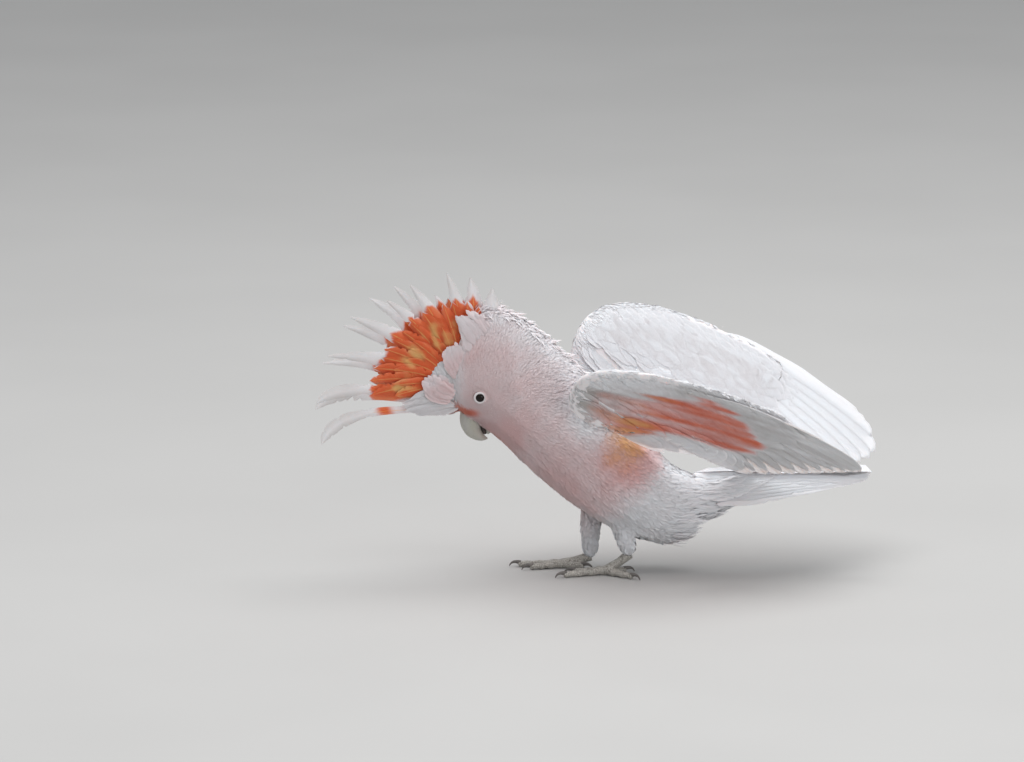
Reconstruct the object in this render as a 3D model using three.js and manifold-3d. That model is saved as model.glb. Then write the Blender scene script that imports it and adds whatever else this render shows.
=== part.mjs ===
// A pink cockatoo (Lophochroa leadbeateri) in display, as a still, life-size model.
// The crest is fanned, the head is bowed, both wings are lifted half folded.
// The bird stands on the floor.
// Millimetres. The bird faces -X, its left side is towards -Y, and +Z is up.
// The soles rest at z = 0.
// Each feathered solid reaches to the outside of the coat.

import * as THREE from "three";
import { mergeVertices } from "three/addons/utils/BufferGeometryUtils.js";
import Module from "manifold-3d";

const wasm = await Module();
wasm.setup();

// ---------------------------------------------------------------- driving dimensions

const GAP = 0.3; // left between neighbours
const CUTTER = 900; // size of the boxes that cut solids, beyond all of the bird
const LEFT = -1;
const RIGHT = 1;

const LEAN = 0.14; // the whole bird but for its legs leans this far to its left
const LEAN_HEIGHT = 60; // about a line at this height

// Head, neck and trunk are one loft, from the brow to the root of the tail.
// top and bottom are [x, z] on the middle plane. egg moves the widest part down.
const BODY_STATIONS = [
  { name: "brow", top: [-134, 186.5], bottom: [-129, 157], halfWidth: 9, egg: 0 },
  { name: "forehead", top: [-130, 209.5], bottom: [-120, 144.5], halfWidth: 17, egg: 0.1 },
  { name: "crown", top: [-118, 236.5], bottom: [-104, 134], halfWidth: 20.5, egg: 0.2 },
  { name: "hindcrown", top: [-100, 251], bottom: [-95, 127], halfWidth: 23, egg: 0.3 },
  { name: "nape", top: [-72, 241], bottom: [-83, 116.5], halfWidth: 29, egg: 0.3 },
  { name: "neck", top: [-42, 215.5], bottom: [-70, 102], halfWidth: 36, egg: 0.2 },
  { name: "shoulder", top: [-4, 176], bottom: [-43, 76.5], halfWidth: 42, egg: 0 },
  { name: "back", top: [38, 131], bottom: [-5, 48.5], halfWidth: 43, egg: 0 },
  { name: "loin", top: [66, 97], bottom: [40, 30], halfWidth: 39, egg: 0 },
  { name: "belly", top: [84, 88], bottom: [66, 25], halfWidth: 33, egg: 0 },
  { name: "rump", top: [99, 88], bottom: [82, 42], halfWidth: 25, egg: 0 },
  { name: "vent", top: [113, 90], bottom: [99, 51], halfWidth: 21, egg: 0 },
  { name: "tail root", top: [128, 89.5], bottom: [122, 62], halfWidth: 15, egg: 0 },
];
const BODY_RINGS = 23;
const BODY_SIDES = 16;
const HEAD_CUT = { at: [-76, 180], turn: -0.1 }; // between head and neck, turned from upright about Y
const NECK_CUT = { at: [-36, 138], turn: 0.36 }; // between neck and trunk
const FOREHEAD = { centre: [-131, 180], radii: [27, 10.5, 37], turn: 0.42 };
const CHEEK = { centre: [-97, 154], radii: [17, 19.5, 21], turn: 0 };

const EYE = { centre: [-107, 170.5], radius: 5, proud: 1.7 };

// Both halves of the bill are bent tubes. Each ring is [x, z, half depth, half width].
const UPPER_BILL = [
  [-109, 160, 9, 6],
  [-112, 151, 11, 8],
  [-114.5, 142, 10, 7.6],
  [-113.5, 134, 8, 6.4],
  [-109.5, 128.5, 5.6, 4.8],
  [-105, 125.5, 3.2, 2.9],
  [-100.5, 124.4, 0.6, 0.6],
];
const LOWER_BILL = [
  [-92, 146, 5, 5.5],
  [-95.5, 139, 4.8, 5.6],
  [-98.5, 133.6, 3.6, 5],
  [-100.5, 129.8, 1.4, 3],
];

// The crest: feathers radiate from one point low on the forehead.
// Each is [angle from +X in degrees, length].
const CREST_CENTRE = [-126, 175];
const CREST_FEATHERS = [
  [204, 134], [191, 130], [187, 127], [171, 122], [166, 120], [152, 116], [145.5, 116], [134.5, 113],
  [128, 103], [122, 108], [114, 105], [104, 86], [95.5, 108], [84, 100], [72, 97],
];
const CREST_VANE = { width: 21, thickness: 1, bend: 0.07, twist: 0.16, splay: 0.03, offset: 1 };
const CREST_ROOT = 6; // where the feathers begin, from that point
const CREST_RIDGE = { height: 6, halfWidth: 5, back: -84 }; // the strip of crown that they stand on

// A wing lies in a plane. Its plan has its origin at the front edge,
// along towards the tip and lead towards the leading edge.
const WING_ORIGIN = [-20, 51, 204]; // x, distance from the middle plane, z
const WING_ALONG = new THREE.Vector3(0.938, -0.055, -0.341);
const WING_LEAD = new THREE.Vector3(0.3, 0.62, 0.724);
const WING_OUT = { [LEFT]: 8, [RIGHT]: 0 }; // how much farther out each wing stands
const WING_PIVOT = [158, 139]; // x and z of the line about which one wing is lowered at its root
const WING_TURN = { [LEFT]: -0.05, [RIGHT]: 0 };
const WING_SPREAD = { [LEFT]: [-8, -8], [RIGHT]: [5, 4] }; // how far each tip is carried beyond the mean
// The arm, with the skin fold in front of it and the coverts.
// Each station is [along, trailing edge, leading edge, thickness].
const ARM_STATIONS = [
  [-2.5, -16, 6, 4],
  [2, -28, 22, 10],
  [14, -37, 38, 13],
  [34, -45, 48.5, 13],
  [58, -42, 54.5, 11],
  [84, -38, 56.5, 8.5],
  [112, -38, 56, 6.6],
  [140, -34, 53.5, 5.2],
  [166, -20, 48.5, 4.2],
  [186, -2, 41, 3.2],
];
const ARM_SIDES = 12;
const ARM_SWELL = 0.45; // how much thicker the leading edge is than the middle, as a share
const ARM_SWELL_MEAN = 1.1;
const ARM_CAMBER = 1.5;
// Flight feathers, from the outermost in: root and tip are [along, lead] of the first and the last feather.
const PRIMARIES = {
  count: 10,
  root: [[92, 43], [56, 10]],
  tip: [[276, 2], [204, -52]],
  tipBulge: { [LEFT]: [12.8, 5], [RIGHT]: [21, -9] }, // how far the tips between them reach beyond a line
  width: 21,
  bow: 0.055,
  level: -2.6, // height of the first feather in the plane; the rest step up
  droop: 0,
};
const SECONDARIES = {
  count: 9,
  root: [[50, 6], [60, -16]],
  tip: [[192, -58], [112, -22]],
  tipBulge: { [LEFT]: [0, 0], [RIGHT]: [0, 0] },
  width: 22,
  bow: 0.02,
  level: 1.6,
  droop: 0.26, // the last feather is turned down this far about the line of the arm
};
const ARM_DROOP = 0.3; // such a turn, for the trailing half of the arm beside the body
const ARM_DROOP_END = 130; // how far along the arm it fades out
const BULGE_LEAN = 0.62; // below 1, the bulge is nearer the outermost feather
const FEATHER_THICKNESS = 1.1;
const FEATHER_STEP = 0.42;

// The tail is a low roof of six feathers a side, under its ridge.
// The outer feathers slant in under the middle ones, and the whole tail is raised a little.
const TAIL = {
  ridge: [104, 90],
  rise: 0.02,
  slope: 0.52,
  count: 6,
  spacing: 5.8,
  step: 0.59,
  width: 17,
  fan: -0.25,
  indent: 0.35, // how far the first feather stands from the ridge, in spacings
  longest: 139,
  shortening: 0.5, // times the square of a feather's number
};

// Legs. The left foot stands behind the right one, as in the bird's step.
const LEGS = {
  [LEFT]: {
    thigh: [[20, 19, 78], [19, 21, 52], [22.5, 20, 33], [26, 18, 22]],
    sole: [4, 15],
    toeTurn: 0.12,
  },
  [RIGHT]: {
    thigh: [[4, 15, 80], [-7, 16, 50], [-8.5, 13.5, 27], [-8.5, 12, 13]],
    sole: [-35, 11],
    toeTurn: -0.08,
  },
};
const THIGH_RADII = [16, 10.5, 7.6, 6];
const THIGH_RINGS = 7;
const THIGH_END = { shift: [-1, 0, -3], radius: 3 }; // rounds the thigh over below its last ring
const ANKLE_RADIUS = 4.6;
const HEEL_SHIFT = [1, 0, -2]; // from the end of the thigh to the head of the shank
const SHANK_BOW = [1.5, 0, 0];
const SHANK_WAIST = 0.85; // the shank's middle, as a share of the ankle
const TOE_RADIUS = 3.5;
// Along a toe, pads that rest on the floor alternate with joints held clear of it.
// Each is a share of the toe's radius.
const TOE_FORM = [1.25, 1.1, 1.05, 0.92, 0.95, 0.82, 0.85];
const PAD_HEIGHT = 0.84; // of a pad's centre, as a share of its radius, so that the floor cuts a small flat
const JOINT_HEIGHT = 1.25;
const TOE_END = { reach: 1.6, radius: 0.45 }; // rounds the toe over: millimetres, and a share of its radius
// Two toes point forward and two back. turn is from straight ahead, outwards.
const TOES = [
  { name: "inner_front", length: 27, turn: -0.2 },
  { name: "outer_front", length: 37, turn: 0.2 },
  { name: "inner_back", length: 20, turn: Math.PI + 0.25 },
  { name: "outer_back", length: 30, turn: Math.PI - 0.75 },
];
// A claw rises from its root, then drops to its tip. sweep is the angle that it curls through.
const CLAW = { length: 10.5, radius: 2.1, tip: 0.35, root: 4, rise: 1.2, drop: 3.4, sweep: 1.35, rings: 4 };

// ---------------------------------------------------------------- materials

function finish(color, roughness = 0.8) {
  return new THREE.MeshStandardMaterial({ color, roughness, metalness: 0 });
}

const PINK = finish(0xe3bdb6);
const WHITE = finish(0xf0eef2);
const ORANGE = finish(0xdf5b2c);
const HORN = finish(0xb9bab2, 0.45);
const EYE_BLACK = finish(0x0c0a09, 0.08);
const SCALE_GREY = finish(0x9b968c, 0.7);
const CLAW_GREY = finish(0x55504b, 0.4);

// ---------------------------------------------------------------- solids

const point = (x, y, z) => new THREE.Vector3(x, y, z);
const lerp = THREE.MathUtils.lerp;

// A closed three.js geometry as a solid, set in place by a matrix. A mirroring matrix turns its faces round.
function solid(geometry, matrix = new THREE.Matrix4()) {
  const bare = new THREE.BufferGeometry();
  bare.setAttribute("position", geometry.getAttribute("position").clone());
  bare.setIndex(geometry.index);
  bare.applyMatrix4(matrix);
  const merged = mergeVertices(bare, 1e-4);
  const triVerts = new Uint32Array(merged.index.array);
  if (matrix.determinant() < 0) {
    for (let i = 0; i < triVerts.length; i += 3) {
      [triVerts[i + 1], triVerts[i + 2]] = [triVerts[i + 2], triVerts[i + 1]];
    }
  }
  const vertProperties = new Float32Array(merged.attributes.position.array);
  return new wasm.Manifold(new wasm.Mesh({ numProp: 3, vertProperties, triVerts }));
}

const join = (solids) => solids.reduce((whole, next) => whole.add(next));

// A cut can leave crumbs, so the largest body is kept.
function largest(whole) {
  return whole.decompose().reduce((a, b) => (a.volume() > b.volume() ? a : b));
}

function meshOf(name, whole, material) {
  const made = largest(whole).getMesh();
  const positions = new Float32Array(made.numVert * 3);
  for (let i = 0; i < made.numVert; i++) {
    positions.set(made.vertProperties.subarray(i * made.numProp, i * made.numProp + 3), i * 3);
  }
  const geometry = new THREE.BufferGeometry();
  geometry.setAttribute("position", new THREE.BufferAttribute(positions, 3));
  geometry.setIndex(new THREE.BufferAttribute(made.triVerts, 1));
  geometry.computeVertexNormals();
  const mesh = new THREE.Mesh(geometry, material);
  mesh.name = name;
  return mesh;
}

const leaning = new THREE.Matrix4()
  .makeTranslation(0, 0, LEAN_HEIGHT)
  .multiply(new THREE.Matrix4().makeRotationX(LEAN))
  .multiply(new THREE.Matrix4().makeTranslation(0, 0, -LEAN_HEIGHT));
const lean = (place) => leaning.clone().multiply(place);

// A skin over rings of equal point counts, closed at each end by a fan to the ring's middle.
function loft(rings, place = new THREE.Matrix4()) {
  const sides = rings[0].length;
  const middle = (ring) => ring.reduce((sum, p) => sum.add(p), point(0, 0, 0)).divideScalar(sides);
  const points = [...rings.flat(), middle(rings[0]), middle(rings.at(-1))];
  const first = rings.length * sides;
  const faces = [];
  for (let i = 0; i < sides; i++) {
    const next = (i + 1) % sides;
    faces.push(first, next, i);
    faces.push(first + 1, first - sides + i, first - sides + next);
    for (let r = 0; r < rings.length - 1; r++) {
      const a = r * sides;
      const b = a + sides;
      faces.push(a + i, a + next, b + next, a + i, b + next, b + i);
    }
  }
  const geometry = new THREE.BufferGeometry().setFromPoints(points);
  geometry.setIndex(faces);
  const made = solid(geometry, place);
  if (made.volume() > 0) return made;
  for (let i = 0; i < faces.length; i += 3) [faces[i + 1], faces[i + 2]] = [faces[i + 2], faces[i + 1]];
  geometry.setIndex(faces);
  return solid(geometry, place);
}

// A tube through centres, with a half width across Y and a half depth across the path at each.
function tube(centres, halfDepths, halfWidths, sides, grow = 0, place = new THREE.Matrix4()) {
  const rings = centres.map((centre, i) => {
    const before = centres[Math.max(i - 1, 0)];
    const after = centres[Math.min(i + 1, centres.length - 1)];
    const along = after.clone().sub(before).normalize();
    const across = point(0, 1, 0).addScaledVector(along, -along.y).normalize();
    const over = along.clone().cross(across);
    return Array.from({ length: sides }, (_, k) => {
      const angle = (2 * Math.PI * k) / sides;
      return centre
        .clone()
        .addScaledVector(across, (halfWidths[i] + grow) * Math.cos(angle))
        .addScaledVector(over, (halfDepths[i] + grow) * Math.sin(angle));
    });
  });
  return loft(rings, place);
}

function ellipsoid(centre, radii, turn = 0, rings = 12, grow = 0) {
  const place = new THREE.Matrix4().makeTranslation(...centre);
  place.multiply(new THREE.Matrix4().makeRotationY(turn));
  place.multiply(new THREE.Matrix4().makeScale(...radii.map((r) => r + grow)));
  return solid(new THREE.SphereGeometry(1, rings * 2, rings), lean(place));
}

// All that lies on one side of a plane across the bird: before it is towards the head.
function side(cut, before) {
  const place = new THREE.Matrix4().makeTranslation(cut.at[0], 0, cut.at[1]);
  place.multiply(new THREE.Matrix4().makeRotationY(cut.turn));
  const shift = (CUTTER / 2 + GAP / 2) * (before ? -1 : 1);
  place.multiply(new THREE.Matrix4().makeTranslation(shift, 0, 0));
  return solid(new THREE.BoxGeometry(CUTTER, CUTTER, CUTTER), lean(place));
}

function underFloor() {
  const place = new THREE.Matrix4().makeTranslation(0, 0, -CUTTER / 2);
  return solid(new THREE.BoxGeometry(CUTTER, CUTTER, CUTTER), place);
}

// ---------------------------------------------------------------- body

function bodyLoft(grow = 0) {
  const curve = (values) => new THREE.CatmullRomCurve3(values, false, "centripetal");
  const tops = curve(BODY_STATIONS.map((s) => point(s.top[0], 0, s.top[1])));
  const bottoms = curve(BODY_STATIONS.map((s) => point(s.bottom[0], 0, s.bottom[1])));
  const forms = curve(BODY_STATIONS.map((s, i) => point(s.halfWidth, s.egg, i)));
  const rings = Array.from({ length: BODY_RINGS }, (_, r) => {
    const t = r / (BODY_RINGS - 1);
    const top = tops.getPoint(t);
    const bottom = bottoms.getPoint(t);
    const form = forms.getPoint(t);
    const centre = top.clone().add(bottom).divideScalar(2);
    const half = top.clone().sub(bottom).divideScalar(2);
    half.setLength(half.length() + grow);
    return Array.from({ length: BODY_SIDES }, (_, k) => {
      const angle = (2 * Math.PI * k) / BODY_SIDES;
      const width = (form.x + grow) * (1 - form.y * Math.sin(angle));
      return centre
        .clone()
        .addScaledVector(half, Math.sin(angle))
        .add(point(0, width * Math.cos(angle), 0));
    });
  });
  return loft(rings, leaning);
}

function body(grow = 0) {
  const swells = [CHEEK, FOREHEAD].map(({ centre, radii, turn }) =>
    ellipsoid([centre[0], 0, centre[1]], radii, turn, 6, grow),
  );
  return join([bodyLoft(grow), ...swells]);
}

function eye(hand, grow = 0) {
  const [x, z] = EYE.centre;
  return ellipsoid([x, hand * eyeDistance(), z], [EYE.radius, EYE.radius, EYE.radius], 0, 6, grow);
}

// The eye stands a little proud of the side of the head.
function eyeDistance() {
  const crown = BODY_STATIONS[2];
  const middle = (crown.top[1] + crown.bottom[1]) / 2;
  const height = (EYE.centre[1] - middle) / ((crown.top[1] - crown.bottom[1]) / 2);
  const surface = crown.halfWidth * (1 - crown.egg * height) * Math.sqrt(1 - height * height);
  return surface + EYE.proud - EYE.radius;
}

function bill(rings, grow = 0) {
  return tube(
    rings.map(([x, z]) => point(x, 0, z)),
    rings.map((r) => r[2]),
    rings.map((r) => r[3]),
    12,
    grow,
    leaning,
  );
}

// ---------------------------------------------------------------- feathers

// Half the width of a feather, as a share of its width, at shares of its length.
const VANE = [[0, 0.16], [0.25, 0.44], [0.8, 0.5], [0.96, 0.28]];
const PLUME = [[0, 0.22], [0.25, 0.46], [0.5, 0.5], [0.8, 0.32]];

// A flat feather from root to tip, bowed sideways by a share of its length.
function feather(root, tip, width, bow, thickness, profile) {
  const along = new THREE.Vector2(...tip).sub(new THREE.Vector2(...root));
  const across = new THREE.Vector2(-along.y, along.x);
  const start = new THREE.Vector2(...root);
  const aside = (s) => across.clone().multiplyScalar(4 * bow * s * (1 - s));
  const spine = (s) => start.clone().addScaledVector(along, s).add(aside(s));
  const offset = across.clone().normalize();
  const edge = (hand) => profile.map(([s, share]) => spine(s).addScaledVector(offset, hand * share * width));
  const outline = [...edge(-1), spine(1), ...edge(1).reverse()];
  return new THREE.ExtrudeGeometry(new THREE.Shape(outline), { depth: thickness, bevelEnabled: false });
}

// ---------------------------------------------------------------- crest

// One crest feather in the middle plane's own x and z, then splayed and twisted to its side.
function crestFeather([angle, length], index) {
  const hand = index % 2 === 0 ? LEFT : RIGHT;
  const { width, thickness, bend, twist, splay, offset } = CREST_VANE;
  const blade = feather([CREST_ROOT, 0], [length, 0], width, -bend, thickness, PLUME);
  const place = new THREE.Matrix4().makeTranslation(CREST_CENTRE[0], hand * offset, CREST_CENTRE[1]);
  place.multiply(new THREE.Matrix4().makeRotationY(-THREE.MathUtils.degToRad(angle)));
  place.multiply(new THREE.Matrix4().makeRotationZ(hand * splay));
  place.multiply(new THREE.Matrix4().makeRotationX(Math.PI / 2 + hand * twist));
  return solid(blade, lean(place));
}

// The feathers stand on a ridge along the crown.
function crest() {
  const { height, halfWidth, back } = CREST_RIDGE;
  const slab = new THREE.BoxGeometry(CUTTER, 2 * halfWidth, CUTTER);
  const place = new THREE.Matrix4().makeTranslation(back - CUTTER / 2, 0, CREST_CENTRE[1] + CUTTER / 2);
  const ridge = body(height).intersect(solid(slab, lean(place)));
  return join([ridge, ...CREST_FEATHERS.map(crestFeather)]);
}

// ---------------------------------------------------------------- wings

function wingPlace(hand) {
  const lift = WING_ALONG.clone().cross(WING_LEAD).normalize();
  const lead = lift.clone().cross(WING_ALONG).normalize();
  const place = new THREE.Matrix4().makeBasis(WING_ALONG.clone().normalize(), lead, lift);
  place.setPosition(WING_ORIGIN[0], WING_ORIGIN[1] + WING_OUT[hand], WING_ORIGIN[2]);
  const [x, z] = WING_PIVOT;
  place.premultiply(new THREE.Matrix4().makeTranslation(-x, 0, -z));
  place.premultiply(new THREE.Matrix4().makeRotationY(WING_TURN[hand]));
  place.premultiply(new THREE.Matrix4().makeTranslation(x, 0, z));
  return lean(new THREE.Matrix4().makeScale(1, hand, 1).multiply(place));
}

const droopAt = (along) => ARM_DROOP * (1 - THREE.MathUtils.smoothstep(along, 0, ARM_DROOP_END));

// The arm is a row of lens shapes across the plan, thickest near the leading edge.
function arm(hand, grow = 0) {
  const place = wingPlace(hand);
  const rings = ARM_STATIONS.map(([along, trail, lead, thick]) =>
    Array.from({ length: ARM_SIDES }, (_, k) => {
      const angle = (2 * Math.PI * k) / ARM_SIDES;
      const across = Math.cos(angle);
      const half = ((thick / 2) * (1 + ARM_SWELL * across)) / ARM_SWELL_MEAN + grow;
      const middle = (lead + trail) / 2;
      const reach = (lead - trail) / 2 + grow;
      const rise = ARM_CAMBER * (1 - across * across);
      const at = point(along, middle + reach * across, half * Math.sin(angle) + rise);
      if (at.y < 0) at.applyMatrix4(new THREE.Matrix4().makeRotationX(droopAt(along)));
      return at.applyMatrix4(place);
    }),
  );
  return loft(rings);
}

function flightFeathers(set, hand, grow = 0) {
  const place = wingPlace(hand);
  const blades = Array.from({ length: set.count }, (_, i) => {
    const share = i / (set.count - 1);
    const between = (ends) => [0, 1].map((k) => lerp(ends[0][k], ends[1][k], share));
    const root = between(set.root);
    const tip = between(set.tip);
    const bulge = Math.sin(Math.PI * Math.pow(share, BULGE_LEAN));
    for (const k of [0, 1]) tip[k] += bulge * set.tipBulge[hand][k] + WING_SPREAD[hand][k];
    const thickness = FEATHER_THICKNESS + 2 * grow;
    const turn = new THREE.Matrix4().makeRotationX(set.droop * share);
    const level = new THREE.Matrix4().makeTranslation(0, 0, set.level + FEATHER_STEP * i - thickness / 2);
    const blade = feather(root, tip, set.width + 2 * grow, set.bow, thickness, VANE);
    return solid(blade, place.clone().multiply(turn).multiply(level));
  });
  return join(blades);
}

// ---------------------------------------------------------------- tail

function tailFeathers() {
  const { ridge, rise, slope, count, spacing, step, width, fan, indent, longest, shortening } = TAIL;
  const blades = [LEFT, RIGHT].flatMap((hand) =>
    Array.from({ length: count }, (_, i) => {
      const turn = (fan * (i + 0.5)) / count;
      const across = spacing * (i + indent);
      const length = longest - shortening * i * i;
      const blade = feather(
        [0, across],
        [length * Math.cos(turn), across + length * Math.sin(turn)],
        width,
        0,
        FEATHER_THICKNESS,
        VANE,
      );
      const place = new THREE.Matrix4().makeScale(1, hand, 1);
      place.multiply(new THREE.Matrix4().makeTranslation(ridge[0], 0, ridge[1] - FEATHER_THICKNESS));
      place.multiply(new THREE.Matrix4().makeRotationY(-rise));
      place.multiply(new THREE.Matrix4().makeRotationX(-slope));
      place.multiply(new THREE.Matrix4().makeTranslation(0, 0, -step * i));
      return solid(blade, lean(place));
    }),
  );
  return join(blades);
}

// ---------------------------------------------------------------- legs

function thigh(hand, grow = 0) {
  const centres = LEGS[hand].thigh.map(([x, y, z]) => point(x, hand * y, z));
  const path = new THREE.CatmullRomCurve3(centres);
  const forms = new THREE.CatmullRomCurve3(THIGH_RADII.map((radius, i) => point(radius, i, 0)));
  const share = Array.from({ length: THIGH_RINGS }, (_, i) => i / (THIGH_RINGS - 1));
  const radii = share.map((t) => forms.getPoint(t).x);
  const end = centres.at(-1).clone().add(point(...THIGH_END.shift));
  const all = [...radii, THIGH_END.radius];
  return tube([...share.map((t) => path.getPoint(t)), end], all, all, 12, grow);
}

function soleOf(hand) {
  const [x, y] = LEGS[hand].sole;
  return point(x, hand * y, TOE_FORM[0] * TOE_RADIUS * PAD_HEIGHT);
}

// The way a toe points: ahead is -X, and outwards is away from the other foot.
function toeWay(hand, toe) {
  const turn = toe.turn + LEGS[hand].toeTurn;
  return point(-Math.cos(turn), hand * Math.sin(turn), 0);
}

function toe(hand, made, grow = 0) {
  const start = soleOf(hand);
  const way = toeWay(hand, made);
  const radii = TOE_FORM.map((share) => TOE_RADIUS * share);
  const centres = radii.map((radius, i) => {
    const at = start.clone().addScaledVector(way, (made.length * i) / (radii.length - 1));
    at.z = radius * (i % 2 === 0 ? PAD_HEIGHT : JOINT_HEIGHT);
    return at;
  });
  centres.push(centres.at(-1).clone().addScaledVector(way, TOE_END.reach));
  radii.push(TOE_RADIUS * TOE_END.radius);
  return tube(centres, radii, radii, 6, grow);
}

function claw(hand, made) {
  const way = toeWay(hand, made);
  const root = soleOf(hand).addScaledVector(way, made.length - 1);
  const centres = [];
  const radii = [];
  for (let i = 0; i < CLAW.rings; i++) {
    const share = i / (CLAW.rings - 1);
    const at = root.clone().addScaledVector(way, CLAW.length * Math.sin(share * CLAW.sweep));
    at.z = CLAW.root + CLAW.rise * Math.sin(share * Math.PI) - CLAW.drop * share * share;
    centres.push(at);
    radii.push(lerp(CLAW.radius, CLAW.tip, share));
  }
  return tube(centres, radii, radii, 5);
}

function foot(hand, grow = 0) {
  const leg = LEGS[hand].thigh.at(-1);
  const heel = point(leg[0], hand * leg[1], leg[2]).add(point(...HEEL_SHIFT));
  const sole = soleOf(hand);
  const middle = heel.clone().lerp(sole, 0.5).add(point(...SHANK_BOW));
  const radii = [ANKLE_RADIUS, SHANK_WAIST * ANKLE_RADIUS, TOE_FORM[0] * TOE_RADIUS];
  const shank = tube([heel, middle, sole], radii, radii, 10, grow);
  return join([shank, ...TOES.map((made) => toe(hand, made, grow))]).subtract(underFloor());
}

// ---------------------------------------------------------------- the bird

const bird = new THREE.Group();
const handName = { [LEFT]: "left", [RIGHT]: "right" };

const eyes = [LEFT, RIGHT].map((hand) => eye(hand, GAP));
const bareHead = body().intersect(side(HEAD_CUT, true));
const bills = [UPPER_BILL, LOWER_BILL].map((rings) => bill(rings, GAP));
const head = [...eyes, ...bills].reduce((a, b) => a.subtract(b), bareHead);
const neck = body().intersect(side(HEAD_CUT, false)).intersect(side(NECK_CUT, true));
const trunk = body().intersect(side(NECK_CUT, false));
bird.add(meshOf("head", head, PINK), meshOf("neck", neck, PINK), meshOf("trunk", trunk, PINK));

bird.add(meshOf("bill_upper", bill(UPPER_BILL), HORN));
bird.add(meshOf("bill_lower", bill(LOWER_BILL).subtract(bill(UPPER_BILL, GAP)), HORN));
bird.add(meshOf("crest", crest().subtract(body(GAP)).subtract(bill(UPPER_BILL, GAP)), ORANGE));
bird.add(meshOf("tail", tailFeathers().subtract(body(GAP)), WHITE));

for (const hand of [LEFT, RIGHT]) {
  const which = handName[hand];
  bird.add(meshOf(`eye_${which}`, eye(hand), EYE_BLACK));

  const wingArm = arm(hand).subtract(body(GAP));
  const primaries = flightFeathers(PRIMARIES, hand).subtract(arm(hand, GAP));
  const beside = [arm(hand, GAP), body(GAP), flightFeathers(PRIMARIES, hand, GAP)];
  const secondaries = beside.reduce((a, b) => a.subtract(b), flightFeathers(SECONDARIES, hand));
  bird.add(meshOf(`wing_${which}`, wingArm, WHITE));
  bird.add(meshOf(`primaries_${which}`, primaries, WHITE));
  bird.add(meshOf(`secondaries_${which}`, secondaries, WHITE));

  bird.add(meshOf(`thigh_${which}`, thigh(hand).subtract(body(GAP)), WHITE));
  bird.add(meshOf(`foot_${which}`, foot(hand).subtract(thigh(hand, GAP)), SCALE_GREY));
  for (const made of TOES) {
    const tip = claw(hand, made).subtract(toe(hand, made, GAP)).subtract(underFloor());
    bird.add(meshOf(`claw_${which}_${made.name}`, tip, CLAW_GREY));
  }
}

// The origin is under the middle of the bird's box, on the floor.
const bounds = new THREE.Box3().setFromObject(bird);
const centre = bounds.getCenter(point(0, 0, 0));
bird.position.set(-centre.x, -centre.y, -bounds.min.z);

export default bird;
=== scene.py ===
"""A pink cockatoo in display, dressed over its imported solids.

It has a skin, a coat of small feathers, flight feathers, tail, crest, bill, eyes and feet. The shapes
are worked out in millimetres in the bird's own frame, before the lean of its body, and BODY or FLOOR
carries them to the shared frame in metres.
"""

import math

import bmesh
import bpy
import numpy as np
from bpy.props import FloatProperty, FloatVectorProperty, PointerProperty
from mathutils import Matrix, Vector
from mathutils.bvhtree import BVHTree
from mathutils.kdtree import KDTree


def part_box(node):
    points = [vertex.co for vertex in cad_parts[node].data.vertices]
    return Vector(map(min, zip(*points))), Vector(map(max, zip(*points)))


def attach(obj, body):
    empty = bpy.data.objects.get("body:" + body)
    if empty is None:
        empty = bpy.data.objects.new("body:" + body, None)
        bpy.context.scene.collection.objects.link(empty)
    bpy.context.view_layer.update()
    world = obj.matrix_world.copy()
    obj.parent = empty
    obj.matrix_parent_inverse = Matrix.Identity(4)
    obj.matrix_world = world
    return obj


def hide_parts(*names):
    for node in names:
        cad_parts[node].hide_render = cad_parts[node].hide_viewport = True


bl_info = {
    "name": "Pink Cockatoo Figure",
    "version": (1, 0, 0),
    "blender": (4, 5, 0),
    "location": "View3D > Sidebar > Cockatoo",
    "description": "Builds the feathered looks of a displaying pink cockatoo",
    "category": "Object",
}

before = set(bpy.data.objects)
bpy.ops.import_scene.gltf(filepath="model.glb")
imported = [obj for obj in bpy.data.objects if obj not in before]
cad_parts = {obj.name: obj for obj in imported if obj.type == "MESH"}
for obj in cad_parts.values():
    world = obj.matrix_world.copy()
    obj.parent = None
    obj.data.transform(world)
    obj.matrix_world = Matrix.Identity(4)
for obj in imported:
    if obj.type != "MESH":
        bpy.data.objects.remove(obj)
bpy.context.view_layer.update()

# ---------------------------------------------------------------- the bird's frame

HANDS = {"left": -1, "right": 1}  # which way along Y each side lies
MM = 0.001
LEAN = 0.14  # of the body, about a line at LEAN_HEIGHT
LEAN_HEIGHT = 60.0
# Places as (x, z), seen from the bird's side.
EYE = (-107.0, 170.5)
CREST_CENTRE = (-126.0, 175.0)
BILL_BASE = (-108.0, 152.0)
AIM = (-78.6, 0.0, 174.3)  # what the camera looks at


def eye_centre(which):
    """Centre of an eye, in metres."""
    low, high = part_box(f"eye_{which}")
    return (low + high) / 2


def find_places():
    """The matrices from the bird's frame, leaning and not leaning, to the shared one."""
    lean = Matrix.Translation((0, 0, LEAN_HEIGHT))
    lean = lean @ Matrix.Rotation(LEAN, 4, "X") @ Matrix.Translation((0, 0, -LEAN_HEIGHT))
    between_eyes = (eye_centre("left") + eye_centre("right")) / 2 / MM
    shift = Matrix.Translation(between_eyes - lean @ Vector((EYE[0], 0, EYE[1])))
    scale = Matrix.Scale(MM, 4)
    return np.array(scale @ shift @ lean), np.array(scale @ shift)


BODY, FLOOR = find_places()
FROM_BODY, FROM_FLOOR = np.linalg.inv(BODY), np.linalg.inv(FLOOR)


def carry(points, matrix):
    """Points through a 4x4 matrix."""
    return points @ matrix[:3, :3].T + matrix[:3, 3]


# ---------------------------------------------------------------- small sums


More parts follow.
